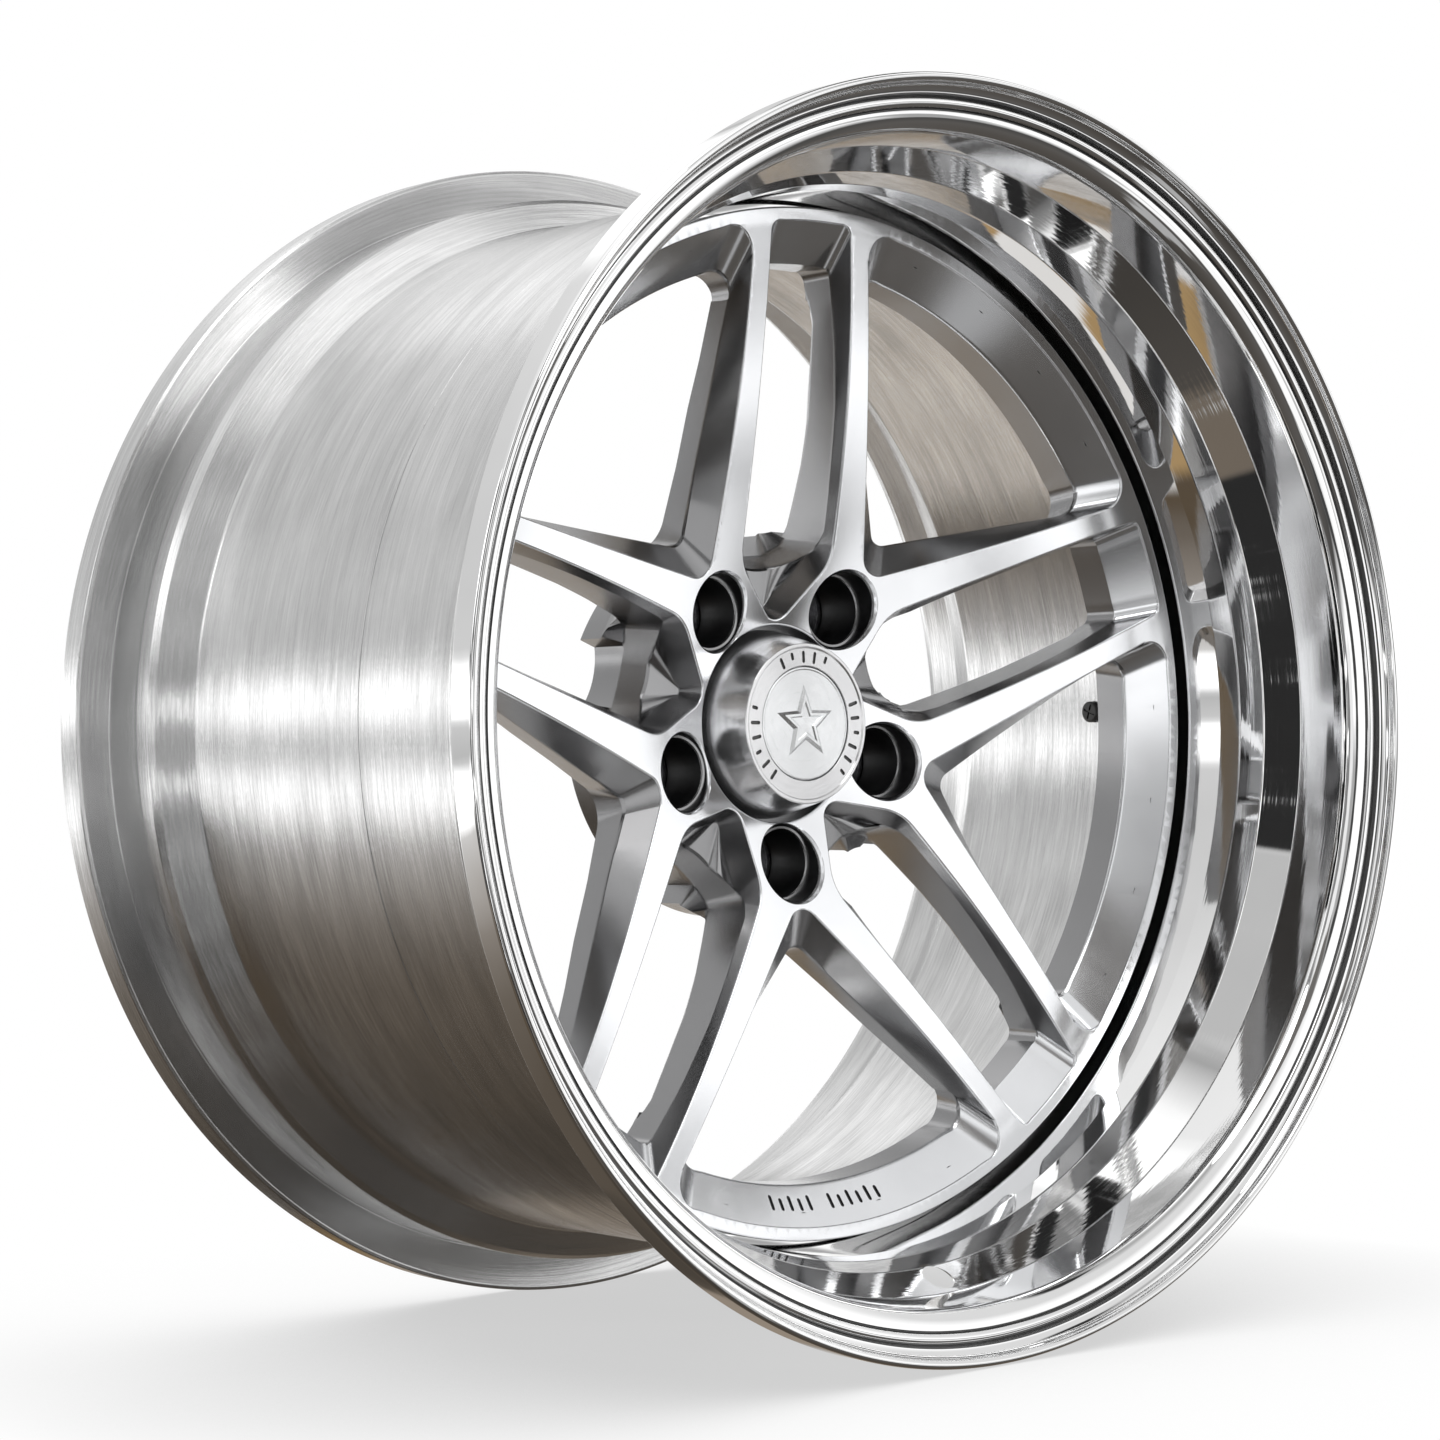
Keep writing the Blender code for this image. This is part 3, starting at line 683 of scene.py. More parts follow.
def open_window(axis_angle):
    """Cutter for the wide window between two pairs."""
    face = mirrored(open_half(76.0, outer_face_side, (76, 201), BAND_R))
    edge = mirrored(open_half(91.5, outer_edge_side, (79, 180), WINDOW_R))
    back = mirrored(open_half(93.0, outer_back_side, (82, 181), WINDOW_R))
    edge_ring = [(u, v, open_edge_depth(hypot(u, v))) for u, v in edge]
    back_ring = [(u, v, spoke_back_depth(hypot(u, v)) + 0.5) for u, v in back]
    mouth = rounded_mouth(face)
    walls = crisp([mouth[-1], edge_ring, back_ring])
    rings = mouth + walls[1:]
    rings.append([(u, v, 180.0) for u, v in back])
    return tool(loft([place(ring, axis_angle) for ring in rings], cap_ends=True))


def lug_bore(angle):
    """Lug bore with a rounded, chamfered mouth and a seat shoulder."""
    mouth = face_depth(LUG_CIRCLE_R)
    sides = 64
    steps = [(LUG_MOUTH_R + 8.0, 80.0), (LUG_MOUTH_R + 8.0, mouth - 6.6),
             (LUG_MOUTH_R + 0.7, mouth - 0.4), (LUG_MOUTH_R, mouth + 0.4),
             (LUG_MOUTH_R - 0.5, mouth + 1.2), (LUG_BORE_R + 0.2, mouth + 2.0),
             (LUG_BORE_R, mouth + 3.0), (LUG_BORE_R, mouth + 6.6),
             (LUG_STEP_R + 0.4, mouth + 6.8), (LUG_STEP_R, mouth + 7.4),
             (LUG_STEP_R, SEAT_FRONT - 1.6), (LUG_BORE_R, SEAT_FRONT - 1.0),
             (LUG_BORE_R, LUG_SEAT_D), (STUD_R, LUG_SEAT_D), (STUD_R, PAD_BACK + 4)]
    rings = []
    for radius, depth in steps:
        circle = []
        for i in range(sides):
            u = LUG_CIRCLE_R + radius * cos(2 * pi * i / sides)
            v = radius * sin(2 * pi * i / sides)
            slant = face_depth(hypot(u, v)) - mouth if mouth - 7 < depth < mouth + 3.5 else 0
            circle.append((u, v, depth + slant))
        rings.append(place(circle, angle))
    return tool(loft(rings, cap_ends=True))


def centre_blank():
    """Turned blank of the centre, with fine steps along its swept face and back."""
    face = [(r, face_depth(r), 0) for r in np.linspace(43.0, BAND_R, 56)]
    back = [(r, spoke_back_depth(r), 0) for r in np.linspace(182.0, 84.0, 24)]
    return [(BORE_R, PAD_BACK - 1, 0), (BORE_R, CAP_SEAT_D, 0), (CAP_SEAT_R, CAP_SEAT_D, 0),
            (CAP_SEAT_R, face_depth(CAP_SEAT_R) - 0.05, 1.4), *face,
            (RING_R, RING_FRONT, 0.9), (RING_R, RING_BACK, 0.4),
            (SKIRT_OUT_R, RING_BACK, 0.4), (SKIRT_OUT_R, SKIRT_BACK, 0.8),
            (WINDOW_R, SKIRT_BACK, 0), *back,
            (80.8, 150.0, 0.6), (PAD_R, 151.0, 0.6), (PAD_R, PAD_BACK, 1.0),
            (BORE_R, PAD_BACK, 1.0)]


def flange_holes(start, end):
    """Clearance holes for the flange bolts between two depths."""
    radius = BOLT_R + 0.4
    return merged([spin_tool(point(BOLT_CIRCLE_R, a, start), point(BOLT_CIRCLE_R, a, end),
                             ((0, radius), (1, radius)), 16) for a in BOLT_ANGLES])


def paint_centre(obj):
    """Slot 0 is the satin walls, 1 the bright machined faces, 2 painted shade, in black, deep in
    the lug bores and in the ring's index bars.
    """
    lugs = [point(LUG_CIRCLE_R, angle, 0) for angle in LUG_ANGLES]
    for face in obj.data.polygons:
        c, n = face.center, face.normal
        radius = hypot(c.x, c.z) / MM
        depth = (c.y - FRONT_Y) / MM
        inward = -(c.x * n.x + c.z * n.z) / (radius * MM)
        slot = 0
        if radius > CAP_SEAT_R and abs(depth - face_depth(min(radius, BAND_R))) < EDGE_R + 0.1:
            slot = 1
        if radius > WINDOW_R - 0.5 and inward > 0.2 and n.y < -0.3:
            # Painted shade: the walls and floors of the index bars on the ring's slope get the
            # black slot.
            marked = 189.5 < radius < 196.8 and depth > ring_slope(radius) + 0.25
            slot = 2 if marked else 1
        # Painted shade: the lug bores' walls behind the mouth are painted black, all but the step
        # faces, which keep the satin wall metal.
        for lug in lugs:
            near = hypot(c.x - lug.x, c.z - lug.z) / MM
            if near < LUG_BORE_R + 0.3 and face_depth(radius) + 2.0 < depth < PAD_BACK - 0.5:
                slot = 0 if n.y < -0.5 and near > LUG_STEP_R - 0.1 else 2
        face.material_index = slot


def make_centre(mats):
    path = rounded_path(centre_blank())
    centre = lathe("wheel_centre_finished", path, mats)
    for i, angle in enumerate(LUG_ANGLES):
        boolean(centre, pair_window(PAIR_ANGLE + i * STEP_ANGLE))
        boolean(centre, open_window(angle))
    for angle in LUG_ANGLES:
        boolean(centre, lug_bore(angle))
    boolean(centre, flange_holes(BOLT_TIP - 0.5, RING_BACK + 2))
    boolean(centre, ring_marks())
    top_up(centre, mats)
    paint_centre(centre)
    return centre


# ----- rim halves
def bead(start, end, bulge):
    """Arc of (radius, depth, 0) points between two profile points, bulging by so many mm.

    A positive bulge lies on the left of the way from start to end.
    """
    a, b = Vector(start), Vector(end)
    along = b - a
    side = Vector((-along.y, along.x)).normalized()
    steps = 10
    points = []
    for i in range(steps + 1):
        s = i / steps
        at = a + along * s + side * bulge * 4 * s * (1 - s)
        points.append((at.x, at.y, 0.0))
    return points


def lip_front():
    """Show side of the lip's flange: a round tip, a cove, a low bead and a swept shoulder."""
    tip = bead((RIM_R, 1.9), (242.5, 1.3), 1.6)
    cove = bead((242.3, 3.0), (239.0, 6.3), -0.5)
    ridge = bead((237.7, 8.1), (233.8, 8.6), 0.8)
    shoulder = bead((232.6, 9.0), (225.6, 13.4), 0.9)
    return [*tip, (242.35, 2.2, 0), *cove, (238.6, 6.2, 0.1), (238.2, 8.4, 0.15), *ridge,
            (233.3, 9.5, 0.2), (232.9, 9.5, 0.2), *shoulder, (224.9, 15.5, 1.0)]


def make_lip(mats):
    flange_front = RING_BACK + 0.3
    corners = [
        *lip_front(), (223.5, 36.6, 1.8), (215.3, 50.6, 4.0), (212.0, 61.5, 6.0),
        (211.2, 72.0, 8.0), (211.2, flange_front, 1.0),
        (FLANGE_IN_R, flange_front, 0.4), (FLANGE_IN_R, LIP_BACK, 0.4),
        (208.5, LIP_BACK, 0), (208.5, LIP_BACK - 1.7, 0.2), (212.1, LIP_BACK - 1.7, 0.2),
        (212.1, LIP_BACK, 0), (BARREL_R, LIP_BACK, 0.25), (BARREL_R, 52.6, 5.0),
        (219.2, 48.2, 3.0), (229.9, 36.2, 1.6), (228.6, 30.5, 6.0), (228.5, 14.2, 1.6),
        (244.4, 12.9, 1.0), (RIM_R, 11.8, 1.0)]
    lip = lathe("outer_lip_finished", rounded_path(corners), mats, sharp=RIM_SHARP_ANGLE)
    cone = Vector((215.3 - 223.5, 50.6 - 36.6)).normalized()
    normal = Vector((-cone.y, cone.x))
    middle = Vector((218.8, 44.6))
    ends = [middle + normal * 12 * s for s in (1, -1)]
    start = point(ends[0].x, VALVE_ANGLE, ends[0].y)
    end = point(ends[1].x, VALVE_ANGLE, ends[1].y)
    radii = [(0, 6.6), (0.30, 6.6), (0.33, 5.85), (0.35, VALVE_HOLE_R), (0.465, VALVE_HOLE_R),
             (0.485, 6.0), (0.497, 6.6), (0.505, 7.4), (0.515, 9.0), (1, 9.0)]
    boolean(lip, spin_tool(start, end, radii, 48), sharp=RIM_SHARP_ANGLE)
    boolean(lip, flange_holes(flange_front - 3, LIP_BACK + 3), sharp=RIM_SHARP_ANGLE)
    paint_lip(lip)
    return lip


def paint_lip(lip):
    """Slot 0 is the polished side, 1 the brushed tyre side, 2 painted shade in the thin grooves
    between beads.
    """
    for face in lip.data.polygons:
        at, normal = face.center, face.normal
        radius = hypot(at.x, at.z)
        outward = (at.x * normal.x + at.z * normal.z) / radius
        depth = (at.y - FRONT_Y) / MM
        tyre_side = depth > 12.5 and (outward > 0.1 or normal.y > 0.6)
        ring = radius / MM
        # Painted shade: the thin grooves between the beads get the dark groove-shade metal.
        groove = depth < 9.8 and (232.6 < ring < 233.7 or 237.75 < ring < 239.0)
        face.material_index = 1 if tyre_side else 2 if groove else 0


def make_barrel(mat):
    corners = [
        (BARREL_BORE_R, HEAD_FRONT - 0.3, 0.8), (BARREL_BORE_R, 228.0, 5.0),
        (216.4, 235.4, 2.0), (224.6, 249.0, 3.0), (227.6, 268.7, 2.0), (229.8, 273.4, 1.2),
        (242.2, 277.0, 0.8), (242.8, RIM_WIDTH, 0.4), (RIM_R, RIM_WIDTH, 1.3),
        (RIM_R, 265.2, 1.0), (244.6, 264.2, 1.0), (228.9, 269.0, 0.5), (228.6, 249.2, 3.0),
        (229.9, 246.2, 2.0), (229.8, 238.4, 2.0), (227.9, 235.0, 1.2), (216.6, 223.4, 3.0),
        (BARREL_R, 213.0, 6.0), (BARREL_R, BARREL_FRONT, 0.25),
        (FLANGE_IN_R, BARREL_FRONT, 0.4), (FLANGE_IN_R, HEAD_FRONT - 0.3, 0.4)]
    barrel = lathe("inner_barrel_finished", rounded_path(corners), [mat], sharp=RIM_SHARP_ANGLE)
    inside = point(BARREL_BORE_R - 6, PLUG_ANGLE, PLUG_D)
    outside = point(BARREL_R + 6, PLUG_ANGLE, PLUG_D)
    boolean(barrel, spin_tool(inside, outside, ((0, 4.1), (1, 4.1)), 32), sharp=RIM_SHARP_ANGLE)
    boolean(barrel, flange_holes(BARREL_FRONT - 3, HEAD_FRONT + 3), sharp=RIM_SHARP_ANGLE)
    return barrel


def make_barrel_plug(mat):
    """Slotted blanking plug: domed head on the bore side, plain shank in the wall."""
    inside = point(BARREL_BORE_R - 2.6, PLUG_ANGLE, PLUG_D)
    outside = point(BARREL_R - 1.0, PLUG_ANGLE, PLUG_D)
    radii = [(0, 3.6), (0.03, 4.3), (0.08, 4.75), (0.25, 4.8), (0.28, 3.8), (0.97, 3.8), (1, 3.4)]
    rings = spin_rings(inside, outside, radii, 40)
    plug = new_object("barrel_plug_finished", loft(rings, cap_ends=True), [mat])
    for turn in (0.35, 0.35 + pi / 2):
        slot = bmesh.new()
        bmesh.ops.create_cube(slot, size=1.0)
        bmesh.ops.scale(slot, vec=Vector((1.4, 7.0, 1.0)) * MM, verts=slot.verts)
        cutter = tool(slot)
        spin = Matrix.Rotation(radians(-PLUG_ANGLE), 4, 'Y') @ Matrix.Rotation(turn, 4, 'X')
        cutter.data.transform(Matrix.Translation(inside) @ spin)
        boolean(plug, cutter)
    return plug


# ----- fasteners and seals
def settle_circle(first, names, radius, angles, slot, nodes):
    """Stand a piece modelled on the spin axis, and copies of it, on a circle about that axis."""
    for name, angle, node in zip(names, angles, nodes):
        obj = first if name == names[0] else linked(name, first.data)
        obj.location = point(radius, angle, 0) - Vector((0, FRONT_Y, 0))
        settle(obj, "wheel", slot, node)


def make_bolts(mat):
    """Flange bolts with a washer face, a chamfered hexagon head and a pointed shank."""
    def ring(radius, depth, hexagon=False):
        around = []
        for i in range(BOLT_SIDES):
            a = 2 * pi * i / BOLT_SIDES
            flat = cos(pi / 6) / cos((a + 1e-9) % (pi / 3) - pi / 6) if hexagon else 1
            around.append(Vector((radius * flat * cos(a) * MM, y_of(depth),
                                  radius * flat * sin(a) * MM)))
        return around

    rings = [ring(3.4, HEAD_BACK - 1.2), ring(3.9, HEAD_BACK), ring(5.0, HEAD_BACK),
             ring(BOLT_HEAD_R - 0.5, HEAD_BACK - 0.5, True),
             ring(BOLT_HEAD_R - 0.5, HEAD_FRONT + 1.3, True),
             ring(BOLT_HEAD_R, HEAD_FRONT + 1.1), ring(BOLT_HEAD_R, HEAD_FRONT),
             ring(BOLT_R, HEAD_FRONT), ring(BOLT_R, BOLT_TIP + 1.0),
             ring(BOLT_R - 1.0, BOLT_TIP)]
    names = [f"flange_bolt_{i + 1:02d}" for i in range(len(BOLT_NODES))]
    bolt = new_object(names[0], loft(rings, cap_ends=True), [mat], sharp=24)
    settle_circle(bolt, names, BOLT_CIRCLE_R, BOLT_ANGLES, "bolt_steel", BOLT_NODES)


def make_lug_seats(mat):
    """Steel cone seats with a small lead-in and a rounded foot."""
    corners = [(STUD_R, SEAT_BACK, 0.3), (STUD_R, 156.2, 0.4), (12.6, SEAT_FRONT, 0.3),
               (LUG_BORE_R - 0.3, SEAT_FRONT, 0.4), (LUG_BORE_R - 0.3, SEAT_BACK, 0.3)]
    names = [f"nut_seat_{i + 1}" for i in range(SPOKE_PAIRS)]
    nodes = [f"lug_seat_{i + 1}" for i in range(SPOKE_PAIRS)]
    seat = lathe(names[0], rounded_path(corners), [mat], turns=72)
    settle_circle(seat, names, LUG_CIRCLE_R, LUG_ANGLES, "seat_steel", nodes)


def make_barrel_seal(mat):
    corners = [(208.9, LIP_BACK - 1.4, 0.5), (211.7, LIP_BACK - 1.4, 0.5),
               (211.7, LIP_BACK, 0.3), (208.9, LIP_BACK, 0.3)]
    return lathe("barrel_seal_finished", rounded_path(corners, step=20), [mat])


def make_cap_oring(mat):
    corners = [(34.9, 140.0, 0.6), (36.2, 140.0, 1.2), (36.2, 143.0, 1.2), (34.9, 143.0, 0.6)]
    return lathe("cap_oring_finished", rounded_path(corners, step=15), [mat], turns=120)


# ----- cap and badge
def make_cap(mats):
    corners = [
        (0.0, 110.9, 0), (23.4, 110.9, 0.3), (23.4, CAP_FRONT + 0.2, 0.35),
        (30.6, CAP_FRONT + 0.2, 0.3), (31.3, CAP_FRONT - 0.35, 0.3), (32.6, CAP_FRONT - 0.3, 0.6),
        (33.6, 111.0, 2.0), (35.4, 118.5, 6.0), (39.0, 134.2, 0.8),
        (38.9, CAP_SEAT_D - 0.4, 0.5), (36.1, CAP_SEAT_D - 0.4, 0.3), (36.1, 139.6, 0.2),
        (34.5, 139.6, 0.2), (34.5, 143.4, 0.2), (36.1, 143.4, 0.2), (35.4, CAP_TAIL, 0.6),
        (31.0, CAP_TAIL, 0.5), (31.0, 119.0, 2.0), (0.0, 118.0, 0)]
    path = rounded_path(corners, closed=False)
    cap = lathe("centre_cap_finished", path, mats, turns=240, on_axis=True)
    marks = []
    for middle, count in ((92.0, 5), (-14.0, 6), (198.0, 6)):
        for k in range(count):
            angle = middle + (k - (count - 1) / 2) * 12.5
            inner = 24.6 if k % 3 else 26.4
            marks.append(groove(angle, inner, 29.6, 0.75, lambda r: CAP_FRONT + 0.2, 0.6))
    boolean(cap, merged(marks))
    top_up(cap, mats)
    # Painted shade: the walls and floors of the index grooves on the cap's front band get the dark
    # groove-shade metal in slot 1.
    for face in cap.data.polygons:
        radius = hypot(face.center.x, face.center.z) / MM
        depth = (face.center.y - FRONT_Y) / MM
        face.material_index = int(24.0 < radius < 30.2 and CAP_FRONT + 0.3 < depth < 109.4)
    return cap


def groove(angle, inner, outer, half_width, surface, deep):
    """Cutter for a short round-ended groove lying radially in a surface of turned depth."""
    outline = []
    for end, turn, side in ((inner, pi / 2, 1), (outer, -pi / 2, -1)):
        for i in range(9):
            t = turn + pi * i / 8
            outline.append((end + half_width * (side + cos(t)), half_width * sin(t)))
    floor = grown(outline, -0.3 * half_width)
    rings = [[(u, v, surface(hypot(u, v)) - 1.2) for u, v in outline],
             [(u, v, surface(hypot(u, v)) + 0.1) for u, v in outline],
             [(u, v, surface(hypot(u, v)) + deep) for u, v in floor]]
    return tool(loft([place(ring, angle) for ring in rings], cap_ends=True))


def ring_slope(radius):
    """Depth of the sloped inner side of the centre's ring, between the spokes."""
    edge = open_edge_depth(WINDOW_R)
    return 0.4 + float(np.interp(radius, [WINDOW_R, BAND_R], [edge, RING_FRONT]))


def ring_marks():
    """Two short rows of plain index bars cut in the ring's slope at the bottom."""
    bars = []
    for start, count in ((RING_MARKS_AT, 5), (RING_MARKS_AT + 9.4, 6)):
        for k in range(count):
            inner = 191.2 if k % 2 else 190.2
            bars.append(groove(start + k * 1.5, inner, 196.0, 0.85, ring_slope, 0.7))
    return merged(bars)


def make_emblem(mats):
    """Badge disc with a raised five-pointed rosette in bevelled facets."""
    face = 108.75
    corners = [(0.0, face, 0), (15.0, face, 0), (21.8, face, 0.4), (22.3, face - 0.25, 0.2),
               (23.0, face - 0.1, 0.3), (23.0, 110.5, 0.2), (0.0, 110.5, 0)]
    disc = lathe("cap_emblem_finished", rounded_path(corners, closed=False), mats, turns=180,
                 on_axis=True)
    outer, inner, points = 15.5, 6.6, SPOKE_PAIRS
    tips = [(inner if i % 2 else outer, PAIR_ANGLE + i * STEP_ANGLE / 2)
            for i in range(2 * points)]
    steps = [(1.0, 0.0, 0.6), (1.0, 0.0, -0.15), (0.80, 0.2, -1.0), (0.62, 0.2, -1.0),
             (0.52, 0.2, -0.5)]
    star = tool(loft([[point(r * share - less, a, face + down) for r, a in tips]
                      for share, less, down in steps], cap_ends=True))
    boolean(disc, star, 'UNION', sharp=20)
    return disc


# ----- studio
FLOOR_REACH = 30.0           # half the floor's side in metres


def smoothstep_band(nodes, value, low, high, soft):
    """1 inside low..high, falling to 0 over soft on both sides."""
    up = nodes.add("ShaderNodeMapRange", i0=value, i1=low - soft, i2=low + soft, i3=0.0, i4=1.0)
    down = nodes.add("ShaderNodeMapRange", i0=value, i1=high - soft, i2=high + soft, i3=1.0,
                     i4=0.0)
    for node in (up, down):
        node.interpolation_type = 'SMOOTHSTEP'
    return nodes.math('MULTIPLY', up.outputs[0], down.outputs[0])


def grey(value, warmth=0.0):
    """Colour of a tone; warmth shifts it from neutral towards brown."""
    return (value * (1 + warmth), value, value * (1 - warmth), 1)


def tone_ramp(nodes, height, stops):
    """Colour by elevation in degrees; stops are (elevation, tone, warmth), lowest first."""
    ramp = nodes.tree.nodes.new("ShaderNodeValToRGB")
    ramp.color_ramp.elements[0].position = 0.0
    while len(ramp.color_ramp.elements) < len(stops):
        ramp.color_ramp.elements.new(0.5)
    for element, (angle, *tone) in zip(ramp.color_ramp.elements, stops):
        element.position = (angle + 90) / 180
        element.color = grey(*tone)
    nodes.put(ramp.inputs[0], nodes.math('DIVIDE', nodes.math('ADD', height, 90.0), 180.0))
    return ramp.outputs[0]


def make_world():
    """White room to the camera; in reflections a soft studio with panels above a dim floor."""
    world = bpy.data.worlds.new("studio")
    bpy.context.scene.world = world
    world.use_nodes = True
    world.node_tree.nodes.clear()
    nodes = Nodes(world.node_tree)
    direction = nodes.add("ShaderNodeTexCoord").outputs["Generated"]
    x, y, z = nodes.add("ShaderNodeSeparateXYZ", Vector=direction).outputs
    azimuth = nodes.math('MULTIPLY', nodes.math('ARCTAN2', x, y), 180 / pi)
    height = nodes.math('MULTIPLY', nodes.math('ARCSINE', z), 180 / pi)
    wobble = nodes.noise(direction, 2.5, 3.0, 0.55)
    height = nodes.math('ADD', height, nodes.spread(wobble, -1.5, 1.5))
    drift = nodes.noise(direction, 7.0, 3.0, 0.6)
    azimuth = nodes.math('ADD', azimuth, nodes.spread(drift, -3.0, 3.0))
    # Azimuth 0 is behind the wheel (+Y), 90 is +X, 180 is in front and -90 is -X. The two
    # bright stops of the rear ramp are light tubes; the front ramp is a large window.
    rear = tone_ramp(nodes, height, [
        (-90, 0.045, 0.20), (-60, 0.060, 0.22), (-36, 0.088, 0.22), (-28, 0.13, 0.18),
        (-22, 0.24, 0.12), (-17, 0.44, 0.06), (-12, 0.66, 0.02), (-10, 1.9),
        (-6.5, 1.8), (-4, 0.54), (0.5, 0.66), (2.2, 2.0),
        (5.5, 2.0), (8, 0.70), (14, 0.66), (32, 0.72),
        (50, 0.88), (72, 1.1), (90, 1.5)])
    front = tone_ramp(nodes, height, [
        (-90, 0.045, 0.10), (-48, 0.08, 0.10), (-32, 0.10, 0.06), (-20, 0.07, 0.03),
        (-13.5, 0.9), (-10, 1.25), (12, 1.25), (22, 1.05),
        (32, 0.80), (50, 0.80), (64, 0.42), (74, 1.1),
        (90, 1.5)])
    toward = nodes.math('ABSOLUTE', azimuth)
    in_front = nodes.add("ShaderNodeMapRange", i0=toward, i1=88.0, i2=96.0, i3=0.0, i4=1.0)
    colour = nodes.mix(in_front.outputs[0], rear, front)
    # Light and dark areas as west, east, low and high edge in degrees, softness, tone, warmth.
    panels = [
        (146, 180, -25, -11, 2, 1.1), (-180, -164, -25, -11, 2, 0.9),
        (-180, -150, 24, 66, 2, 0.16, 0.05), (-176, -163, -26, 24, 2, 0.06),
        (-150, -136, -10, 44, 2, 0.95), (-136, -122, -30, 56, 2, 0.24),
        (-122, -118, -60, 60, 1, 0.60), (-118, -108, -44, 24, 1, 0.025),
        (-118, -108, -76, -44, 1, 0.14, 0.2), (-118, -109, 24, 62, 1, 0.55),
        (-108, -101, -34, 64, 1, 1.5), (-101, -93, -60, 34, 1, 0.015),
        (-128, -113, 2, 6, 0.7, 2.0), (-128, -113, -10, -7, 0.7, 1.7),
        (-90, -54, 8, 19, 2, 0.16), (-90, -54, -24, -12, 2, 0.07),
        (150, 164, -60, -34, 2, 0.45), (92, 122, 52, 62, 2, 0.04),
        (64, 86, -12, 62, 1, 1.4), (133, 141, -5, 5, 2, 0.45),
        (-62, -28, -47, -31, 2, 0.075, 0.33), (4, 24, -42, -24, 3, 0.06, 0.2),
        (26, 46, -50, -20, 2, 0.25, 0.20), (2, 30, 28, 56, 4, 1.2),
        (-164, -150, 2, 24, 3, 0.45), (-152, -134, 38, 62, 2, 0.25),
        (126, 134, -17, -9, 2, 0.38), (149, 158, -9, -3, 2, 0.50),
        (34, 60, 28, 52, 2, 0.05),
    ]
    for west, east, low, high, soft, *tone in panels:
        inside = nodes.math('MULTIPLY', smoothstep_band(nodes, azimuth, west, east, soft),
                            smoothstep_band(nodes, height, low, high, soft))
        colour = nodes.mix(inside, colour, grey(*tone))
    seen = nodes.add("ShaderNodeLightPath").outputs["Is Camera Ray"]
    final = nodes.mix(seen, colour, (1.0, 1.0, 1.0, 1))
    background = nodes.add("ShaderNodeBackground", Color=final, Strength=1.0)
    output = nodes.tree.nodes.new("ShaderNodeOutputWorld")
    nodes.links.new(background.outputs[0], output.inputs[0])


def make_floor():
    """Plain white floor with a soft contact shadow; it lets reflected rays see the studio."""
    mat = bpy.data.materials.new("studio_floor")
    mat.use_nodes = True
    mat.node_tree.nodes.clear()
    nodes = Nodes(mat.node_tree)
    hidden = nodes.add("ShaderNodeAmbientOcclusion", Distance=0.22)
    hidden.samples = 12
    openness = nodes.spread(hidden.outputs["AO"], 0.0, 1.0, 0.25, 0.98)
    mottle = nodes.noise(place_of(nodes), 3.0, 4.0)
    shadow = nodes.mix(nodes.spread(mottle, 0.0, 1.0), (0.60, 0.60, 0.60, 1), (0.64, 0.64, 0.64, 1))
    pale = nodes.mix(openness, shadow, (1.0, 1.0, 1.0, 1))
    glow = nodes.add("ShaderNodeEmission", Color=pale, Strength=1.0)
    x, y, _ = nodes.add("ShaderNodeSeparateXYZ", Vector=place_of(nodes)).outputs
    boards = nodes.math('MULTIPLY', smoothstep_band(nodes, x, -0.10, 0.46, 0.02),
                        smoothstep_band(nodes, y, 0.17, 0.76, 0.02))
    wander = nodes.math('MULTIPLY_ADD', mottle, 0.10, y)
    plank = nodes.math('FRACT', nodes.math('MULTIPLY', wander, 5.2))
    stripe = smoothstep_band(nodes, plank, 0.10, 0.46, 0.03)
    tint = nodes.mix(stripe, (0.80, 0.785, 0.765, 1), (0.40, 0.27, 0.13, 1))
    wood = nodes.add("ShaderNodeEmission", Color=tint, Strength=1.0)
    clear = nodes.add("ShaderNodeBsdfTransparent")
    seen = nodes.add("ShaderNodeLightPath").outputs["Is Camera Ray"]
    below = nodes.add("ShaderNodeMixShader", i0=boards, i1=clear.outputs[0], i2=wood.outputs[0])
    both = nodes.add("ShaderNodeMixShader", i0=seen, i1=below.outputs[0], i2=glow.outputs[0])
    output = nodes.tree.nodes.new("ShaderNodeOutputMaterial")
    nodes.links.new(both.outputs[0], output.inputs["Surface"])
    bm = bmesh.new()
    bmesh.ops.create_grid(bm, x_segments=4, y_segments=4, size=FLOOR_REACH)
    floor = mesh_object("studio_floor", bm)
    floor.location = (0, 0, CAD_BOX[0].z - 0.0002)
    floor.data.materials.append(mat)


def make_lights():
    """One large soft panel above and in front, and a smaller one to the left."""
    for name, spot, size, power in (("key_panel", (-0.6, -1.6, 2.2), 1.6, 14.0),
                                    ("side_panel", (-2.4, 0.6, 1.0), 1.2, 5.0)):
        data = bpy.data.lights.new(name, 'AREA')
        data.shape = 'DISK'
        data.size = size
        data.energy = power
        lamp = linked(name, data)
        lamp.location = spot
        lamp.rotation_mode = 'QUATERNION'
        lamp.rotation_quaternion = Vector(spot).to_track_quat('Z', 'Y')
        lamp.visible_camera = False


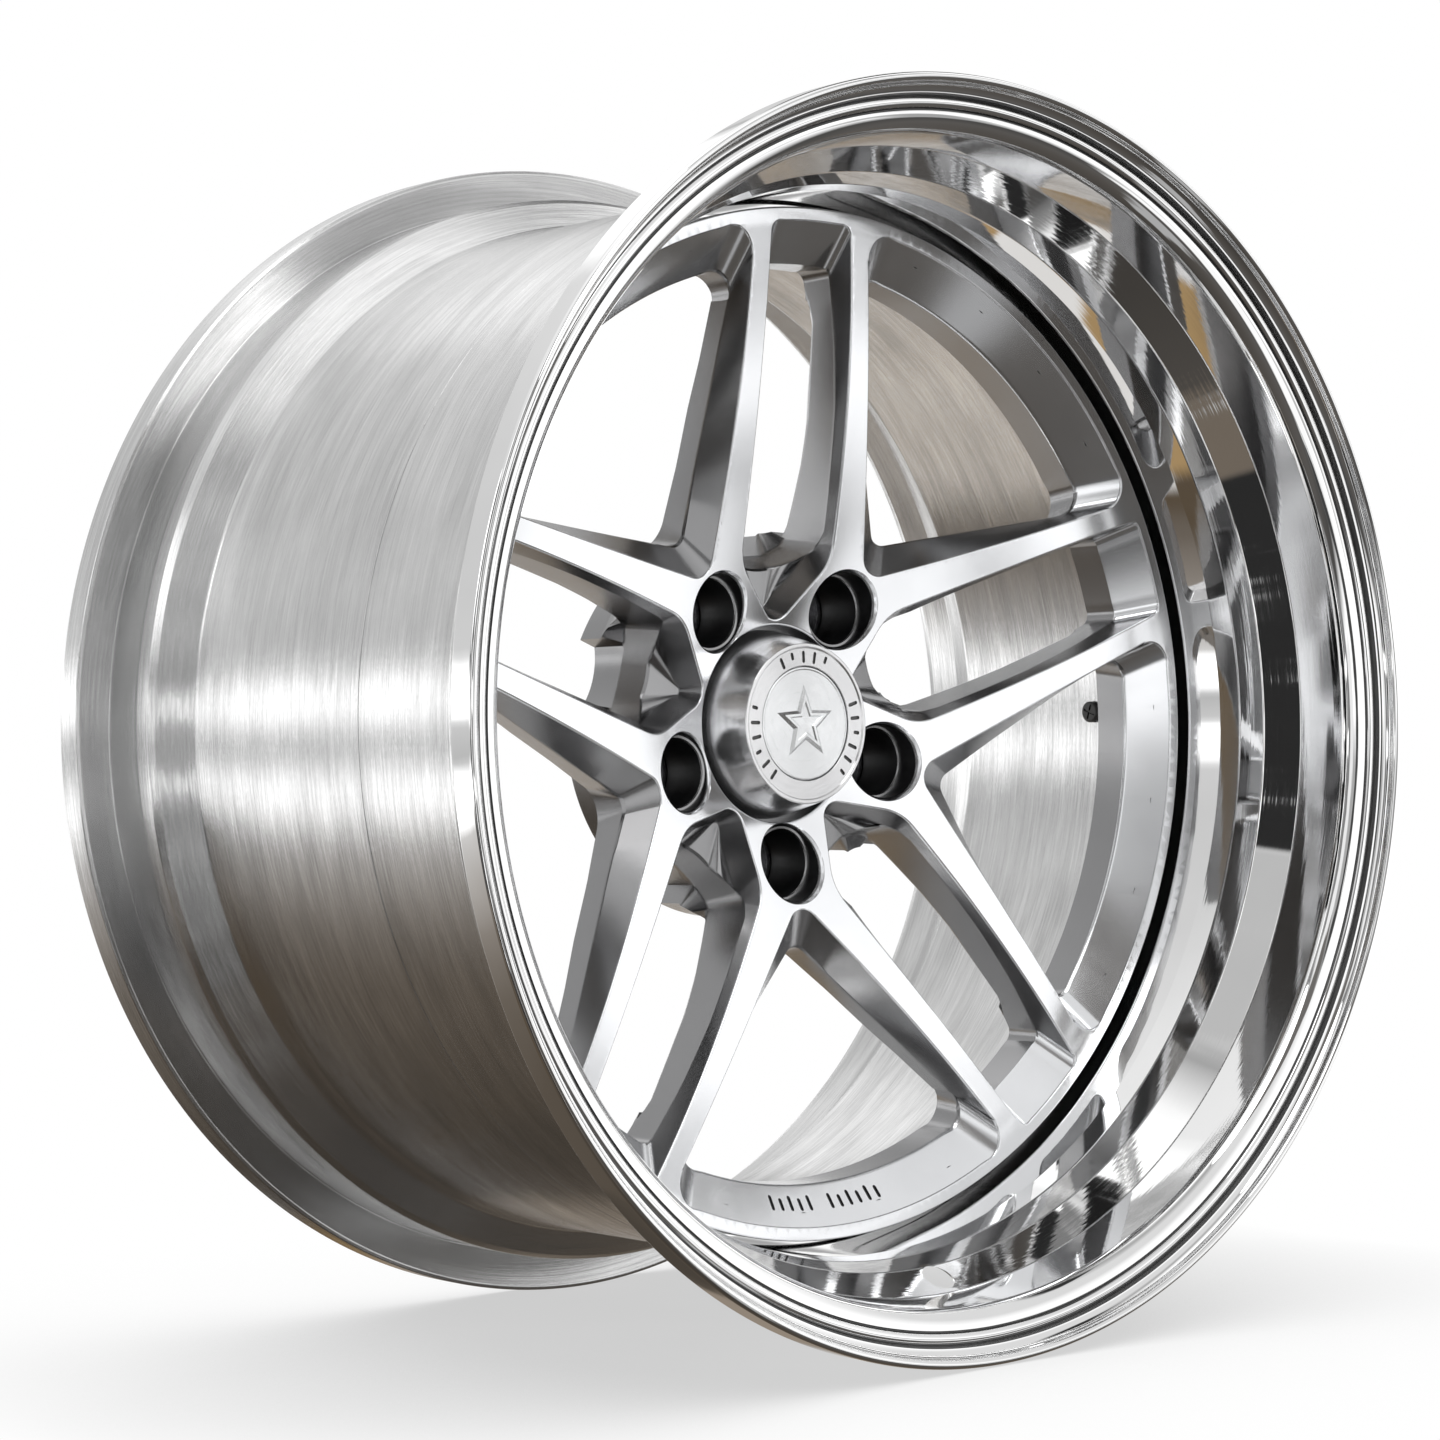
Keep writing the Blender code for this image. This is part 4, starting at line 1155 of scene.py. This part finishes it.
def make_camera():
    """Camera in three-quarter front view from the left, level with the spin axis."""
    data = bpy.data.cameras.new("camera")
    data.sensor_width = 36.0
    data.lens = 83.13
    camera = linked("camera", data)
    right = Vector((0.76345, -0.64578, -0.01101)).normalized()
    back = Vector((-0.64587, -0.76333, -0.01302)).normalized()
    up = back.cross(right)
    turn = Matrix((right, up, back)).transposed().to_4x4()
    camera.matrix_world = Matrix.Translation((-0.8994, -1.0396, -0.0158)) @ turn
    bpy.context.scene.camera = camera
    bpy.context.scene.view_settings.view_transform = 'Standard'


# ----- assembly
def settle(obj, body, slot, *nodes):
    """Hang a finished piece on its body in place of its CAD nodes."""
    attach(obj, body)
    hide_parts(*nodes)


def main():
    polished = polished_material()
    barrel_metal = brushed_material("barrel_brushed", (0.58, 0.58, 0.58), (0.82, 0.82, 0.82),
                                    0.20, lean=0.008, stretch=0.96)
    wall_metal = satin_material("spoke_wall_satin", (0.31, 0.31, 0.315), (0.34, 0.34, 0.345), 0.23)
    face_metal = satin_material("spoke_face_machined", (0.84, 0.85, 0.87), (0.92, 0.93, 0.95),
                                0.16, 0.03)
    # Painted shade, in black, for the deep lug bores and the ring's index bars.
    bore_painted_shade = dark_material("lug_bore_painted_shade", (0.012, 0.012, 0.013), 0.35, 0.4)
    bolt_metal = satin_material("bolt_zinc", (0.40, 0.41, 0.43), (0.56, 0.57, 0.59), 0.32)
    seat_metal = brushed_material("seat_steel", (0.10, 0.10, 0.11), (0.24, 0.24, 0.25), 0.36)
    # Painted shade for the grooves between the lip's beads and for the cap's index grooves.
    painted_groove_shade = satin_material("groove_shadow", (0.10, 0.10, 0.10), (0.16, 0.16, 0.16), 0.5)
    plug_black = dark_material("plug_black", (0.02, 0.02, 0.02), 0.4)
    rubber = dark_material("seal_rubber", (0.012, 0.012, 0.012), 0.65)
    cap_metal = brushed_material("cap_turned", (0.78, 0.78, 0.79), (0.90, 0.90, 0.91), 0.20,
                                 5.0, 7000.0, 0.03, 0.010, 0.95)
    badge_metal = brushed_material("badge_brushed", (0.80, 0.81, 0.82), (0.92, 0.93, 0.94),
                                   0.24, 5.0, 9000.0, 0.04, 0.02, 0.9)
    settle(make_lip([polished, barrel_metal, painted_groove_shade]), "wheel", "polished_lip", "outer_lip")
    settle(make_barrel(barrel_metal), "wheel", "brushed_barrel", "inner_barrel")
    settle(make_centre([wall_metal, face_metal, bore_painted_shade]), "wheel", "forged_centre",
           "wheel_centre")
    settle(make_barrel_seal(rubber), "wheel", "rubber", "barrel_seal")
    settle(make_barrel_plug(plug_black), "wheel", "black_plug", "barrel_plug")
    make_bolts(bolt_metal)
    make_lug_seats(seat_metal)
    settle(make_cap([cap_metal, painted_groove_shade]), "cap", "cap_metal", "centre_cap")
    settle(make_emblem([badge_metal]), "cap", "badge_metal", "cap_emblem")
    settle(make_cap_oring(rubber), "cap", "rubber", "cap_oring")
    make_world()
    make_floor()
    make_lights()
    make_camera()


main()
